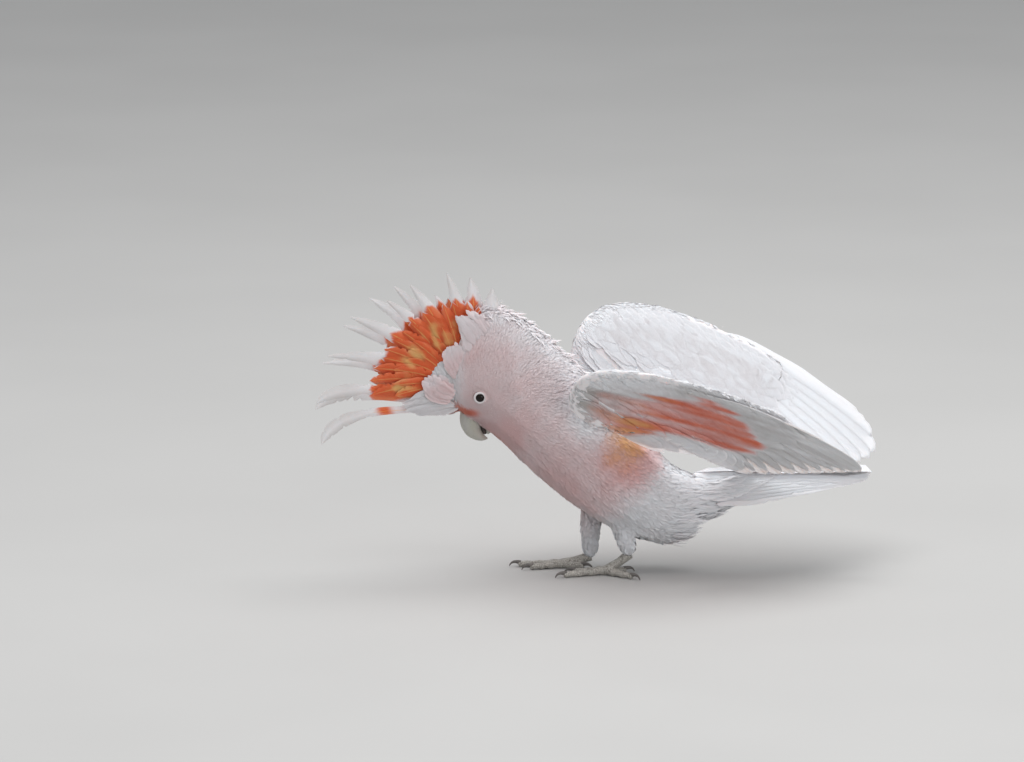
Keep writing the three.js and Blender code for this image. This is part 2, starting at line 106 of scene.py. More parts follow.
def unit(vectors):
    return vectors / np.maximum(np.linalg.norm(vectors, axis=-1, keepdims=True), 1e-9)


def from_side(points, place):
    """How far points are from a place given as (x, z), seen from the bird's side."""
    return np.linalg.norm(points[:, [0, 2]] - np.array(place), axis=1)


def turned(x, y, angle):
    """A pair of coordinates, turned by an angle."""
    c, s = np.cos(angle), np.sin(angle)
    return x * c - y * s, x * s + y * c


def near_line(values, place, width):
    """1 where values are at place, falling to 0 within about two widths."""
    return np.exp(-(((values - place) / width) ** 2))


def ease(low, high, value):
    """0 below low, 1 above high, smooth between them."""
    share = np.clip((value - low) / (high - low), 0, 1)
    return share * share * (3 - 2 * share)


SPOT_EDGE = 1.4  # over 1, a spot is flatter in the middle than a bell


def spot(x, z, centre, radii, turn=0.0):
    """1 in the middle of an oval, falling smoothly to 0 past its edge."""
    across, up = turned(x - centre[0], z - centre[1], -turn)
    near = (across / radii[0]) ** 2 + (up / radii[1]) ** 2
    return np.exp(-(near**SPOT_EDGE))


RIPPLE_WAVES, RIPPLE_SCALE = 7, 3.2


def ripple(points, size, seed):
    """Smooth random values about 0, with blotches of the given size."""
    rng = np.random.default_rng(seed)
    total = np.zeros(points.shape[:-1])
    for _ in range(RIPPLE_WAVES):
        wave = unit(rng.normal(size=3)) * 2 * math.pi / (size * rng.uniform(1.2, 2.6))
        total += np.sin(points @ wave + rng.uniform(0, 2 * math.pi))
    return total / RIPPLE_SCALE


def bezier(ends, ups, share):
    """Places, sides and upward directions along arcs: ends (n, 3, 3), ups (n, 2, 3) and share (n, ...)."""
    lead = share.shape[1:]
    spread = (slice(None),) + (None,) * len(lead)
    a, b, c = (ends[:, k][spread] for k in range(3))
    t = share[..., None]
    at = a * (1 - t) ** 2 + 2 * b * t * (1 - t) + c * t * t
    way = unit((b - a) * (1 - t) + (c - b) * t)
    over = ups[:, 0][spread] * (1 - t) + ups[:, 1][spread] * t
    side = unit(np.cross(over, way))
    return at, side, np.cross(way, side)


# ---------------------------------------------------------------- markings

# Each point of the plumage wears so much pink, orange, yellow and grey.
MASKS = ("blush", "ember", "amber", "shade")
MASK_TOP = 1.4
# Ovals on the body: mask, how much is added to it, and place, radii and turn seen from the side.
BODY_SPOTS = (
    ("blush", 0.42, (-88, 126), (12, 24), -0.6),  # throat
    ("blush", 0.35, (-92, 132), (16, 30), -0.5),
    ("blush", 0.3, (-44, 92), (34, 26), -0.6),  # breast
    ("blush", -0.5, (-18, 158), (26, 20), -0.5),  # shoulder
    ("blush", 0.25, (30, 118), (26, 26), -0.4),  # flank
    ("blush", 0.4, (24, 126), (30, 34), -0.6),
    ("blush", 0.3, (64, 30), (30, 12), 0.0),  # thigh
    ("ember", 0.75, (-118.5, 153), (12, 5.0), 0.1),  # brow
    ("ember", 0.45, (-92, 127), (20, 6), -0.72),  # streak along the throat
    ("ember", 0.08, (-6, 108), (40, 26), -0.5),  # side
    ("shade", 0.1, (-10, 166), (14, 14), 0.0),  # shoulder
)
# Blotchy ovals that only the flanks wear, with the strength of the blotches last.
FLANK_SPOTS = (
    ("ember", 0.4, (20, 133), (22, 30), -0.4, 0.35),
    ("amber", 0.62, (19, 137), (22, 28), -0.5, 0.2),
)


def past_nape(x, z):
    """How far up and back from the face a place is, seen from the side."""
    return (x + 128) * 0.62 + (z - 210) * 0.78


def body_marks(points):
    """The masks at points of head, neck, trunk and thighs, by place."""
    x, y, z = points[..., 0], points[..., 1], points[..., 2]
    mottle = ripple(points, 9, 3)
    face = ease(-116, -132, x) * ease(140, 158, z)
    belly = ease(-8, 34, x + 0.75 * (112 - z) - 26) * ease(122, 96, z)
    blush = 0.66 + 0.07 * mottle - 0.42 * ease(-6, 34, past_nape(x, z) - 20) - 0.55 * face
    marks = {
        "blush": blush - 0.66 * belly - 0.25 * ease(58, 110, x),
        "ember": np.zeros_like(x),
        "amber": np.zeros_like(x),
        "shade": 0.02 + 0.15 * ease(-10, -50, x) * ease(234, 214, z),
    }
    for title, much, *oval in BODY_SPOTS:
        marks[title] += much * spot(x, z, *oval)
    for title, much, *oval, blotches in FLANK_SPOTS:
        marks[title] += much * spot(x, z, *oval) * (1 + blotches * mottle) * ease(8, 20, np.abs(y))
    return marks


# ---------------------------------------------------------------- shader wiring


class Wire:
    """A socket with arithmetic. Values go through Math nodes, colours through Mix and Vector Math."""

    def __init__(self, tree, socket):
        self.tree = tree
        self.socket = socket

    def _math(self, operation, *values):
        return add_node(self.tree, "ShaderNodeMath", {"operation": operation}, dict(enumerate(values)))

    def __add__(self, other):
        return self._math("ADD", self, other)

    def __sub__(self, other):
        return self._math("SUBTRACT", self, other)

    def __mul__(self, other):
        return self._math("MULTIPLY", self, other)

    def __rsub__(self, other):
        return self._math("SUBTRACT", other, self)

    __radd__ = __add__
    __rmul__ = __mul__

    def held(self, low=0.0, high=1.0):
        settings = {"interpolation_type": "SMOOTHSTEP"}
        sockets = {"Value": self, "From Min": low, "From Max": high}
        return add_node(self.tree, "ShaderNodeMapRange", settings, sockets, "Result")

    def toward(self, colour, amount):
        """This colour mixed towards another."""
        sockets = {0: amount, 6: self, 7: colour}
        return add_node(self.tree, "ShaderNodeMix", {"data_type": "RGBA"}, sockets, 2)


def plug(tree, target, value):
    if isinstance(value, Wire):
        tree.links.new(value.socket, target)
    elif target.type == "RGBA" and len(value) == 3:
        target.default_value = (*value, 1)
    else:
        target.default_value = value


def add_node(tree, kind, settings, sockets, output=0):
    """Any node: its settings first, then the values or wires of its sockets."""
    node = tree.nodes.new(kind)
    for name, value in settings.items():
        setattr(node, name, value)
    for name, value in sockets.items():
        plug(tree, node.inputs[name], value)
    return Wire(tree, node.outputs[output])


class Finish:
    """A material being wired: a surface shader, and the patterns that feed it."""

    def __init__(self, name, **constants):
        self.material = bpy.data.materials.new(name)
        self.material.use_nodes = True
        self.tree = self.material.node_tree
        self.surface = self.tree.nodes["Principled BSDF"]
        for socket, value in constants.items():
            plug(self.tree, self.surface.inputs[socket.replace("_", " ")], value)

    def place(self):
        return add_node(self.tree, "ShaderNodeTexCoord", {}, {}, "Object")

    def mask(self, name):
        return add_node(self.tree, "ShaderNodeAttribute", {"attribute_name": name}, {}, "Fac")

    def vane_map(self):
        return add_node(self.tree, "ShaderNodeUVMap", {"uv_map": "Vane"}, {}, "UV")

    def stretched(self, vector, scale):
        return add_node(self.tree, "ShaderNodeMapping", {}, {"Vector": vector, "Scale": scale})

    def noise(self, vector, scale, detail=2.0, roughness=0.5):
        sockets = {"Vector": vector, "Scale": scale, "Detail": detail, "Roughness": roughness}
        return add_node(self.tree, "ShaderNodeTexNoise", {}, sockets, "Fac")

    def cells(self, vector, scale, feature="F1"):
        sockets = {"Vector": vector, "Scale": scale}
        return add_node(self.tree, "ShaderNodeTexVoronoi", {"feature": feature}, sockets, "Distance")

    def colour(self, value):
        """A flat colour as a wire, for mixing."""
        sockets = {0: 0.0, 6: value, 7: value}
        return add_node(self.tree, "ShaderNodeMix", {"data_type": "RGBA"}, sockets, 2)

    def set(self, socket, value):
        plug(self.tree, self.surface.inputs[socket], value)

    def bump(self, height, strength, distance=0.001):
        sockets = {"Strength": strength, "Distance": distance, "Height": height}
        self.set("Normal", add_node(self.tree, "ShaderNodeBump", {}, sockets))


# What tints the plumage, in order: colour, mask, how much the grain varies it, and where it starts and ends.
TINTS = (
    ("grey", "shade", 0.12, 0.0, 1.0),
    ("blush", "blush", 0.3, -0.1, 1.15),
    ("flame", "ember", 0.35, 0.06, 0.95),
    ("amber", "amber", 0.4, 0.1, 0.95),
)
FINE_GRAIN, SOFT_GRAIN = 700.0, 90.0  # noise over metres
STRANDS, WIDE_STRANDS = (30.0, 700.0, 1.0), (12.0, 160.0, 1.0)  # noise over the Vane map


def plumage(name, palette, barbs):
    """The one finish of skin, coat and feathers: white, tinted by the masks, with a fine grain."""
    finish = Finish(
        name, Roughness=0.78, Specular_IOR_Level=0.22, Sheen_Weight=0.2, Sheen_Roughness=0.5,
        Subsurface_Weight=0.35, Subsurface_Radius=(1.0, 0.7, 0.6), Subsurface_Scale=0.003,
    )
    place = finish.place()
    fine = finish.noise(place, FINE_GRAIN, 3.0, 0.6)
    soft = finish.noise(place, SOFT_GRAIN, 3.0, 0.6)
    vary = (fine - 0.5) * 0.5 + (soft - 0.5) * 0.7
    colour = finish.colour(palette.white)
    for tone, mask, varied, low, high in TINTS:
        colour = colour.toward(getattr(palette, tone), (finish.mask(mask) + vary * varied).held(low, high))
    if barbs:
        vane = finish.vane_map()
        strands = finish.noise(finish.stretched(vane, STRANDS), 1.0, 2.0, 0.6)
        wide = finish.noise(finish.stretched(vane, WIDE_STRANDS), 1.0, 2.0, 0.5)
        colour = colour.toward(palette.grey, (wide - 0.45).held(0.0, 1.2) * 0.3)
        finish.bump(strands * 0.5 + wide * 0.5, 0.35, 0.0006)
    else:
        finish.bump(fine * 0.6 + soft * 0.4, 0.3, 0.0008)
    finish.set("Base Color", colour)
    return finish.material


# ---------------------------------------------------------------- making pieces


class Batch:
    """Many small closed shells gathered for one piece, in the bird's frame."""

    def __init__(self):
        self.points = []
        self.faces = []
        self.maps = {"Vane": [], "OFBake": []}
        self.masks = {name: [] for name in MASKS}
        self.normals = []
        self.count = 0

    def add(self, points, faces, vane, bake, masks, normals=None):
        """points (n, 3), faces a list of (k, 3) or (k, 4) arrays, maps (n, 2), masks a dict of (n,)."""
        if normals is not None:
            self.normals.append(normals.reshape(-1, 3))
        self.points.append(points.reshape(-1, 3))
        self.faces.extend(quads.reshape(-1, quads.shape[-1]) + self.count for quads in faces)
        self.maps["Vane"].append(vane.reshape(-1, 2))
        self.maps["OFBake"].append(bake.reshape(-1, 2))
        for name in MASKS:
            self.masks[name].append(np.broadcast_to(masks[name], points.shape[:-1]).reshape(-1))
        self.count += self.points[-1].shape[0]

    def piece(self, name, material, slot, matrix=BODY, nodes=()):
        mesh = mesh_from(name, carry(np.concatenate(self.points), matrix), self.faces)
        corners = np.empty(len(mesh.loops), np.int32)
        mesh.loops.foreach_get("vertex_index", corners)
        for title, parts in self.maps.items():
            layer = mesh.uv_layers.new(name=title)
            layer.data.foreach_set("uv", np.concatenate(parts)[corners].astype(np.float32).ravel())
        write_masks(mesh, {title: np.concatenate(parts) for title, parts in self.masks.items()})
        if self.normals:
            soft = unit(np.concatenate(self.normals) @ matrix[:3, :3].T)
            mesh.normals_split_custom_set_from_vertices(soft.tolist())
        finished(linked(name, mesh), material, nodes)


def linked(name, mesh):
    """A new object for a mesh, in the scene."""
    piece = bpy.data.objects.new(name, mesh)
    bpy.context.collection.objects.link(piece)
    return piece


def mesh_from(name, points, faces):
    """A smooth mesh from points and arrays of faces of three or four corners."""
    mesh = bpy.data.meshes.new(name)
    mesh.vertices.add(len(points))
    mesh.vertices.foreach_set("co", points.astype(np.float32).ravel())
    corners = np.concatenate([part.ravel() for part in faces]).astype(np.int32)
    sizes = np.concatenate([np.full(len(part), part.shape[1]) for part in faces])
    starts = np.concatenate([[0], np.cumsum(sizes)[:-1]]).astype(np.int32)
    mesh.loops.add(len(corners))
    mesh.loops.foreach_set("vertex_index", corners)
    mesh.polygons.add(len(sizes))
    mesh.polygons.foreach_set("loop_start", starts)
    mesh.polygons.foreach_set("use_smooth", np.ones(len(sizes), bool))
    mesh.update(calc_edges=True)
    mesh.validate()
    return mesh


def write_masks(mesh, masks):
    for title, values in masks.items():
        layer = mesh.attributes.new(title, "FLOAT", "POINT")
        layer.data.foreach_set("value", np.clip(values, 0, MASK_TOP).astype(np.float32))


def finished(piece, material, nodes=()):
    """Gives a piece its material and its body, and hides the CAD nodes it stands for."""
    piece.data.materials.clear()
    piece.data.materials.append(material)
    if nodes:
        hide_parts(*nodes)
    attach(piece, "root")


def sheet_faces(rows, columns):
    """Faces of a thin closed blade whose upper sheet comes first, then its lower one."""
    i, j = np.meshgrid(np.arange(rows - 1), np.arange(columns - 1), indexing="ij")
    a = (i * columns + j).ravel()
    under = rows * columns
    top = np.stack([a, a + columns, a + columns + 1, a + 1], 1)
    bottom = np.stack([a, a + 1, a + columns + 1, a + columns], 1) + under
    r = np.arange(rows - 1) * columns
    left = np.stack([r, r + under, r + columns + under, r + columns], 1)
    q = r + columns - 1
    right = np.stack([q, q + columns, q + columns + under, q + under], 1)
    c = np.arange(columns - 1)
    root = np.stack([c, c + 1, c + 1 + under, c + under], 1)
    d = c + (rows - 1) * columns
    tip = np.stack([d, d + under, d + 1 + under, d + 1], 1)
    return np.concatenate([top, bottom, left, right, root, tip])


STRIP_MARGINS = (0.08, 0.03)  # share left bare at the sides and at the ends


def strips(count, rows, columns, slenderness=5.0):
    """A packed atlas: each blade's two sheets get a strip each, as (count, 2, rows, columns, 2)."""
    wide = max(1, math.ceil(math.sqrt(2 * count * slenderness)))
    high = math.ceil(2 * count / wide)
    index = np.arange(2 * count).reshape(count, 2)
    origin = np.stack([index % wide / wide, index // wide / high], -1)
    across, along = (
        (bare + (1 - 2 * bare) * np.linspace(0, 1, points)) / cells
        for bare, points, cells in zip(STRIP_MARGINS, (columns, rows), (wide, high))
    )
    cell = np.stack(np.broadcast_arrays(across[None, :], along[:, None]), -1)
    return origin[:, :, None, None, :] + cell


SHAFT_WIDTH = 0.9
EDGE_THIN, EDGE_LEAST, TIP_THIN = 0.8, 0.08, 0.5  # how blades thin out
VANE_SCALE = 0.01  # from millimetres to the Vane map
# Where the points of a blade lie across it.
COLUMNS_WIDE = (-1.0, -0.72, -0.42, -0.16, 0.0, 0.16, 0.42, 0.72, 1.0)
COLUMNS_SMALL = (-1.0, -0.5, 0.0, 0.5, 1.0)
COLUMNS_FINE = (-1.0, 0.0, 1.0)
# The build of each kind of feather.
LOOSE_BLADE = {"camber": 0.1, "thickness": 0.12, "slant": 0.9, "ridge": 0.03, "soft": 0.25}
QUILL_BLADE = {"camber": 0.09, "thickness": 0.35, "slant": 0.7, "ridge": 0.35}
COVERT_BLADE = {"camber": 0.02, "thickness": 0.1, "slant": 0.5, "ridge": 0.03, "soft": 0.12}
TAIL_BLADE = {"camber": 0.08, "thickness": 0.35, "slant": 0.6, "ridge": 0.3}
CREST_BLADE = {"camber": 0.1, "thickness": 0.3, "slant": 1.1, "ridge": 0.2, "soft": 0.4}
PLUME_BLADE = {"camber": 0.02, "thickness": 0.1, "slant": 0.8, "ridge": 0.01, "soft": 0.15}


def blades(batch, ends, ups, half, masks, columns, *, camber, thickness, slant, ridge, rear=1.0, soft=None):
    """Feathers as thin closed blades along arcs.

    ends (n, 3, 3), ups (n, 2, 3) and half (n, rows) give arc, upward side and half width.
    Barbs slant towards the tip, so each row of points runs out along them. rear widens the one side's
    barbs. masks(points, share, across) gives the markings. soft shades each blade as a part of the whole
    coat: it says how far its edges still turn away.
    """
    count, rows = half.shape
    columns = np.asarray(columns)
    length = np.linalg.norm(ends[:, 2] - ends[:, 0], axis=1)[:, None, None]
    share = np.linspace(0, 1, rows)[None, :, None]
    reach = half[:, :, None] * np.where(columns > 0, rear, 1.0)
    outward = np.abs(columns) * reach * slant / length
    along = np.clip(share + outward * (1 - share), 0, 1)
    at, side, over = bezier(ends, ups, along)
    normals = None
    if soft is not None:
        aside = side * (columns * soft)[:, None]
        normals = np.stack([over + aside, aside - over], 1)
    flat = columns * reach
    rise = ridge * near_line(flat, 0, SHAFT_WIDTH) * (1 - share * 0.7)
    top = at + side * flat[..., None] + over * (rise - camber * reach * columns**2)[..., None]
    thin = (thickness * (1 - EDGE_THIN * np.abs(columns)) + EDGE_LEAST) * (1 - TIP_THIN * share)
    low = top - over * (thin + rise * 1.6)[..., None]
    points = np.stack([top, low], 1)
    vane = np.stack(np.broadcast_arrays(flat * VANE_SCALE, share * length * VANE_SCALE), -1)
    vane = np.broadcast_to(vane[:, None], (*points.shape[:-1], 2))
    shape = points.shape[:-1]
    marks = masks(points, np.broadcast_to(along[:, None], shape), np.broadcast_to(columns, shape))
    faces = repeated(sheet_faces(rows, len(columns)), count, 2 * rows * len(columns))
    batch.add(points, [faces], vane, strips(count, rows, len(columns)), marks, normals)


def repeated(faces, count, size):
    """The faces of count shells of size points each."""
    return faces[None] + (np.arange(count) * size)[:, None, None]


EDGE_WAVES, EDGE_WAVE_HEIGHT = (2.3, 5.1, 11.0), 0.03


def ragged(rng, outline, count, depth, splits):
    """Half widths for count feathers of one outline, with slight waves and a few splits between barbs."""
    rows = outline.shape[-1]
    wave = rng.uniform(0, 2 * math.pi, (count, 3, 1)) + np.outer(EDGE_WAVES, np.linspace(0, 2, rows))
    half = np.broadcast_to(outline, (count, rows)) * (1 + EDGE_WAVE_HEIGHT * np.sin(wave).sum(1))
    for feather in range(count):
        for _ in range(rng.poisson(splits)):
            row = rng.integers(rows // 3, rows - 2)
            half[feather, row] *= 1 - depth * rng.uniform(0.4, 1)
    return half


BARB_POINTS = 10  # a root, two rings of four, and a tip
BARB_STATIONS = (0.0, 0.36, 0.72, 1.0)  # where they lie along a barb
BARB_PATCH = 0.003  # side of a tuft's place in the OFBake map
BARB_SCATTER = 0.2  # of its place in the fan
OUTER_SHORTER, BARB_UNEVEN = 0.22, 0.16  # shares of a barb's length
BARB_RISE = 0.25
BARB_THICK, BARB_LEAST = 0.1, 0.07  # half thickness: a share of the width, and the least in millimetres


def barb_faces():
    """Triangles and quads of one barb."""
    ring = np.arange(4)
    after = (ring + 1) % 4
    root = np.stack([np.zeros(4, int), 1 + after, 1 + ring], 1)
    wall = np.stack([1 + ring, 1 + after, 5 + after, 5 + ring], 1)
    tip = np.stack([np.full(4, 9), 5 + ring, 5 + after], 1)
    return np.concatenate([root, tip]), wall


def tufts(batch, roots, path, side, over, width, fan, barbs, bake, masks, rng, rounded):
    """Feather tufts of a few barbs each, fanned from one root.

    path (n, 4, 3) is the tuft's middle line: root, two middle places and tip. side and over are (n, 3).
    rounded says how far the shading turns away at a barb's sides.
    """
    count = len(roots)
    faces = [repeated(part, count, BARB_POINTS) for part in barb_faces()]
    reach = np.array(BARB_STATIONS)[:, None]
    along = np.repeat(BARB_STATIONS, (1, 4, 4, 1))
    across = np.array([0.5, 1, 0.5, 0, 0.5, 1, 0.5, 0, 0.5, 0.5])
    deep = np.maximum(width * BARB_THICK, BARB_LEAST)[:, None]
    length = np.linalg.norm(path[:, 3] - path[:, 0], axis=1)
    for barb in range(barbs):
        turn = fan * ((barb + 0.5) / barbs * 2 - 1 + rng.normal(0, BARB_SCATTER, count))
        short = 1 - OUTER_SHORTER * np.abs(turn / fan) - rng.uniform(0, BARB_UNEVEN, count)
        line = roots[:, None] + (path - roots[:, None]) * short[:, None, None]
        away = reach * (np.sin(turn) * length)[:, None, None] * side[:, None]
        rise = reach * rng.uniform(-BARB_RISE, BARB_RISE, count)[:, None, None]
        line = line + away + over[:, None] * rise
        points = np.empty((count, BARB_POINTS, 3))
        normals = np.broadcast_to(over[:, None], points.shape).copy()
        points[:, 0] = line[:, 0]
        points[:, 9] = line[:, 3]
        for ring, spread in ((0, 0.8), (1, 1.0)):
            at = line[:, ring + 1]
            half = (width * spread / 2)[:, None]
            for corner, offset in enumerate((side * half, over * deep, -side * half, -over * deep)):
                points[:, 1 + 4 * ring + corner] = at + offset
                outward = offset / np.linalg.norm(offset, axis=1, keepdims=True)
                normals[:, 1 + 4 * ring + corner] = over * (-1.0 if corner == 3 else 1.0) + rounded * outward
        local = np.stack([(across - 0.5 + barb) / barbs, along], 1)
        patch = bake[:, None] + (local[None] - 0.5) * BARB_PATCH
        sides = (across - 0.5) * 2 * VANE_SCALE
        vane = np.stack(np.broadcast_arrays(sides, along * length[:, None] * VANE_SCALE), -1)
        marks = masks(points, np.broadcast_to(along, points.shape[:-1]))
        batch.add(points, faces, vane, patch, marks, normals)


# ---------------------------------------------------------------- skin

FLESH = ("head", "neck", "trunk", "thigh_left", "thigh_right", "wing_left", "wing_right")
HEAD, THIGHS, WINGS = 0, (3, 4), (5, 6)  # numbers in FLESH
SWELL = 0.45  # how far each copy of a solid grows, so that neighbours meet
NEAR_BODY = 26.0  # up to this distance from the trunk, a wing wears the body's coat
made = {}


def welded(node):
    """A CAD node's mesh as a bmesh with its loose triangles joined."""
    shape = bmesh.new()
    shape.from_mesh(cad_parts[node].data)
    bmesh.ops.remove_doubles(shape, verts=shape.verts, dist=1e-6)
    shape.normal_update()
    return shape


def gathered(nodes, swell=0.0):
    """Copies of CAD nodes, grown by swell, as one bmesh."""
    whole = bmesh.new()
    for node in nodes:
        part = welded(node)
        for corner in part.verts:
            corner.co += corner.normal * swell * MM
        scratch = bpy.data.meshes.new("scratch")
        part.to_mesh(scratch)
        whole.from_mesh(scratch)
        bpy.data.meshes.remove(scratch)
        part.free()
    return whole


def tree_of(nodes, matrix):
    """A search tree over CAD nodes, carried by a matrix."""
    whole = gathered(nodes)
    whole.transform(Matrix(matrix))
    found = BVHTree.FromBMesh(whole)
    whole.free()
    return found


def remeshed(name, nodes, voxel, swell):
    """Copies of CAD nodes, grown until they meet, as one even mesh."""
    whole = gathered(nodes, swell)
    mesh = bpy.data.meshes.new(name)
    whole.to_mesh(mesh)
    whole.free()
    piece = linked(name, mesh)
    select_only(piece)
    even = piece.modifiers.new("even", "REMESH")
    even.mode = "VOXEL"
    even.voxel_size = voxel * MM
    even.use_smooth_shade = True
    bpy.ops.object.modifier_apply(modifier=even.name)
    return piece


def select_only(piece):
    bpy.ops.object.select_all(action="DESELECT")
    piece.select_set(True)
    bpy.context.view_layer.objects.active = piece


def read(items, title, width=3, kind=np.float32):
    """One attribute of a mesh's items, as an array of width columns."""
    values = np.empty(len(items) * width, kind)
    items.foreach_get(title, values)
    return values.reshape(-1, width)


def vertex_array(mesh):
    return read(mesh.vertices, "co").astype(float)


def normal_array(mesh):
    return read(mesh.vertex_normals, "vector").astype(float)


def edge_array(mesh):
    return read(mesh.edges, "vertices", 2, np.int32)


def relaxed(values, edges, rounds, rate=0.5):
    """Values on a mesh's vertices, evened out between neighbours."""
    degree = np.bincount(edges.ravel(), minlength=len(values))
    for _ in range(rounds):
        total = np.zeros_like(values)
        np.add.at(total, edges[:, 0], values[edges[:, 1]])
        np.add.at(total, edges[:, 1], values[edges[:, 0]])
        mean = total / degree.reshape(-1, *[1] * (values.ndim - 1))
        values = values + (mean - values) * rate
    return values


def set_vertices(mesh, points):
    mesh.vertices.foreach_set("co", points.astype(np.float32).ravel())
    mesh.update()


def laid(tree, points):
    """The places on a tree's surface nearest to points, and the way it faces there."""
    found = [tree.find_nearest(place) for place in points.tolist()]
    return np.array([hit[0] for hit in found]), np.array([hit[1] for hit in found])


def nearest_part(points):
    """For each point, the part of the flesh it belongs to, as a number in the order of FLESH."""
    reach = np.empty((len(FLESH), len(points)))
    for k, node in enumerate(FLESH):
        tree = tree_of([node], np.eye(4))
        reach[k] = [tree.find_nearest(point)[3] for point in points.tolist()]
    return reach.argmin(0)


def from_body(points, part):
    """How far each place on a wing is from neck and trunk, in millimetres. Elsewhere it is 0."""
    tree = tree_of(["neck", "trunk"], FROM_BODY)
    gap = np.zeros(len(points))
    for i in np.flatnonzero(part >= WINGS[0]):
        gap[i] = tree.find_nearest(points[i].tolist())[3]
    return gap


def wing_lie(points, hand):
    """The way feathers lie on a wing, in the bird's frame."""
    plane = wing_matrix(hand)[:3, :3]
    return np.broadcast_to(plane @ np.array([*turned(1, 0, math.radians(COVERT_LIE)), 0]), points.shape)


def coat_lie(points):
    """The way the coat lies on head, neck and trunk, before it is laid on the surface."""
    x, y, z = points.T
    from_bill = points - np.array([BILL_BASE[0], 0, BILL_BASE[1]])
    away = unit(from_bill)
    slope = np.interp(x, [-90, -40, 20, 60, 90, 130], [-0.95, -0.85, -0.66, -0.2, 0.16, 0.2])
    axis = np.stack([np.cos(slope), 0.05 * np.sign(y), np.sin(slope)], 1)
    low = ease(110, 40, z) * ease(70, 20, x)
    axis[:, 2] -= 0.25 * low
    reach = np.linalg.norm(from_bill, axis=1)
    body = ease(55, 135, reach)[:, None]
    return unit(away * (1 - body) + unit(axis) * body)


def lie_on(points, normals, part, edges):
    """The lie of the coat on the skin: a unit direction in the surface at each vertex."""
    lie = coat_lie(points)
    lie[np.isin(part, THIGHS)] = unit(np.array([0.12, 0, -1.0]))
    away = ease(6, NEAR_BODY, from_body(points, part))[:, None]
    for k, hand in zip(WINGS, HANDS.values()):
        here = part == k
        lie[here] = unit(wing_lie(points[here], hand) * away[here] + lie[here] * (1 - away[here]))
    for _ in range(4):
        lie = relaxed(lie, edges, 6)
        lie -= normals * (lie * normals).sum(1)[:, None]
        lie = unit(lie)
    return lie


SKIN_VOXEL = 2.0
WING_SKIN = {"blush": 0.05, "ember": 0.05, "amber": 0.05, "shade": 0.25}


def coat_depth(sizes, points, part):
    """How thick the coat is, thinner by the bill and the eyes."""
    depths = [mm(getattr(sizes, "coat_" + node.split("_")[0])) for node in FLESH]
    depth = np.minimum(np.array(depths)[part], 0.7 + 0.05 * np.maximum(from_side(points, BILL_BASE) - 6, 0))
    by_eye = 0.5 + 0.12 * np.maximum(from_side(points, EYE) - 5, 0)
    return np.where(part == HEAD, np.minimum(depth, by_eye), depth)


def make_skin(palette, sizes):
    """One skin for the flesh, sunk by the depth of the coat, and what the coat needs to know of it."""
    skin = remeshed("skin", FLESH, SKIN_VOXEL, SWELL)
    mesh = skin.data
    edges = edge_array(mesh)
    points = relaxed(vertex_array(mesh), edges, 5)
    set_vertices(mesh, points)
    part = nearest_part(points)
    depth = relaxed(coat_depth(sizes, carry(points, FROM_BODY), part), edges, 12)
    points = points - normal_array(mesh) * ((depth + SWELL) * MM)[:, None]
    points = relaxed(points, edges, 1)
    set_vertices(mesh, points)
    local = carry(points, FROM_BODY)
    normals = unit(normal_array(mesh) @ FROM_BODY[:3, :3].T)
    marks = body_marks(local)
    write_masks(mesh, {title: np.where(part >= WINGS[0], WING_SKIN[title], marks[title]) for title in MASKS})
    select_only(skin)
    bpy.ops.object.mode_set(mode="EDIT")
    bpy.ops.mesh.select_all(action="SELECT")
    bpy.ops.uv.smart_project(angle_limit=1.15, island_margin=0.001)
    bpy.ops.object.mode_set(mode="OBJECT")
    mesh.uv_layers[0].name = "OFBake"
    made["skin"] = {
        "points": local,
        "normals": normals,
        "part": part,
        "depth": depth,
        "lie": lie_on(local, normals, part, edges),
        "mesh": mesh,
    }
    finished(skin, plumage("plumage_skin", palette, False), FLESH)


# ---------------------------------------------------------------- coat


def scatter(rng, count, spacing_of):
    """Roots for tufts, no closer than spacing_of says, with all that is known of the skin at each."""
    skin = made["skin"]
    mesh = skin["mesh"]
    mesh.calc_loop_triangles()
    loops = read(mesh.loop_triangles, "loops", kind=np.int32)
    uv = read(mesh.uv_layers["OFBake"].data, "uv", 2)
    faces = read(mesh.loops, "vertex_index", 1, np.int32)[:, 0][loops]
    a, b, c = (skin["points"][faces[:, k]] for k in range(3))
    middle = (a + b + c) / 3
    spacing = spacing_of(middle, skin["part"][faces[:, 0]])
    weight = np.linalg.norm(np.cross(b - a, c - a), axis=1) / spacing**2
    pick = rng.choice(len(faces), count, p=weight / weight.sum())
    share = rng.dirichlet((1, 1, 1), count)

    def at(values):
        return np.einsum("nk,nkd->nd", share, values[faces[pick]])

    points = at(skin["points"])
    spacing = spacing[pick]
    tree = KDTree(count)
    for i, place in enumerate(points.tolist()):
        tree.insert(place, i)
    tree.balance()
    alive = np.ones(count, bool)
    kept = []
    for i, place in enumerate(points.tolist()):
        if alive[i]:
            kept.append(i)
            for _, other, _ in tree.find_range(place, spacing[i]):
                alive[other] = False
    kept = np.array(kept)
    return {
        "points": points[kept],
        "normals": unit(at(skin["normals"])[kept]),
        "lie": unit(at(skin["lie"])[kept]),
        "depth": at(skin["depth"][:, None])[kept, 0],
        "part": skin["part"][faces[pick, 0]][kept],
        "uv": np.einsum("nk,nkd->nd", share, uv[loops[pick]])[kept],
    }


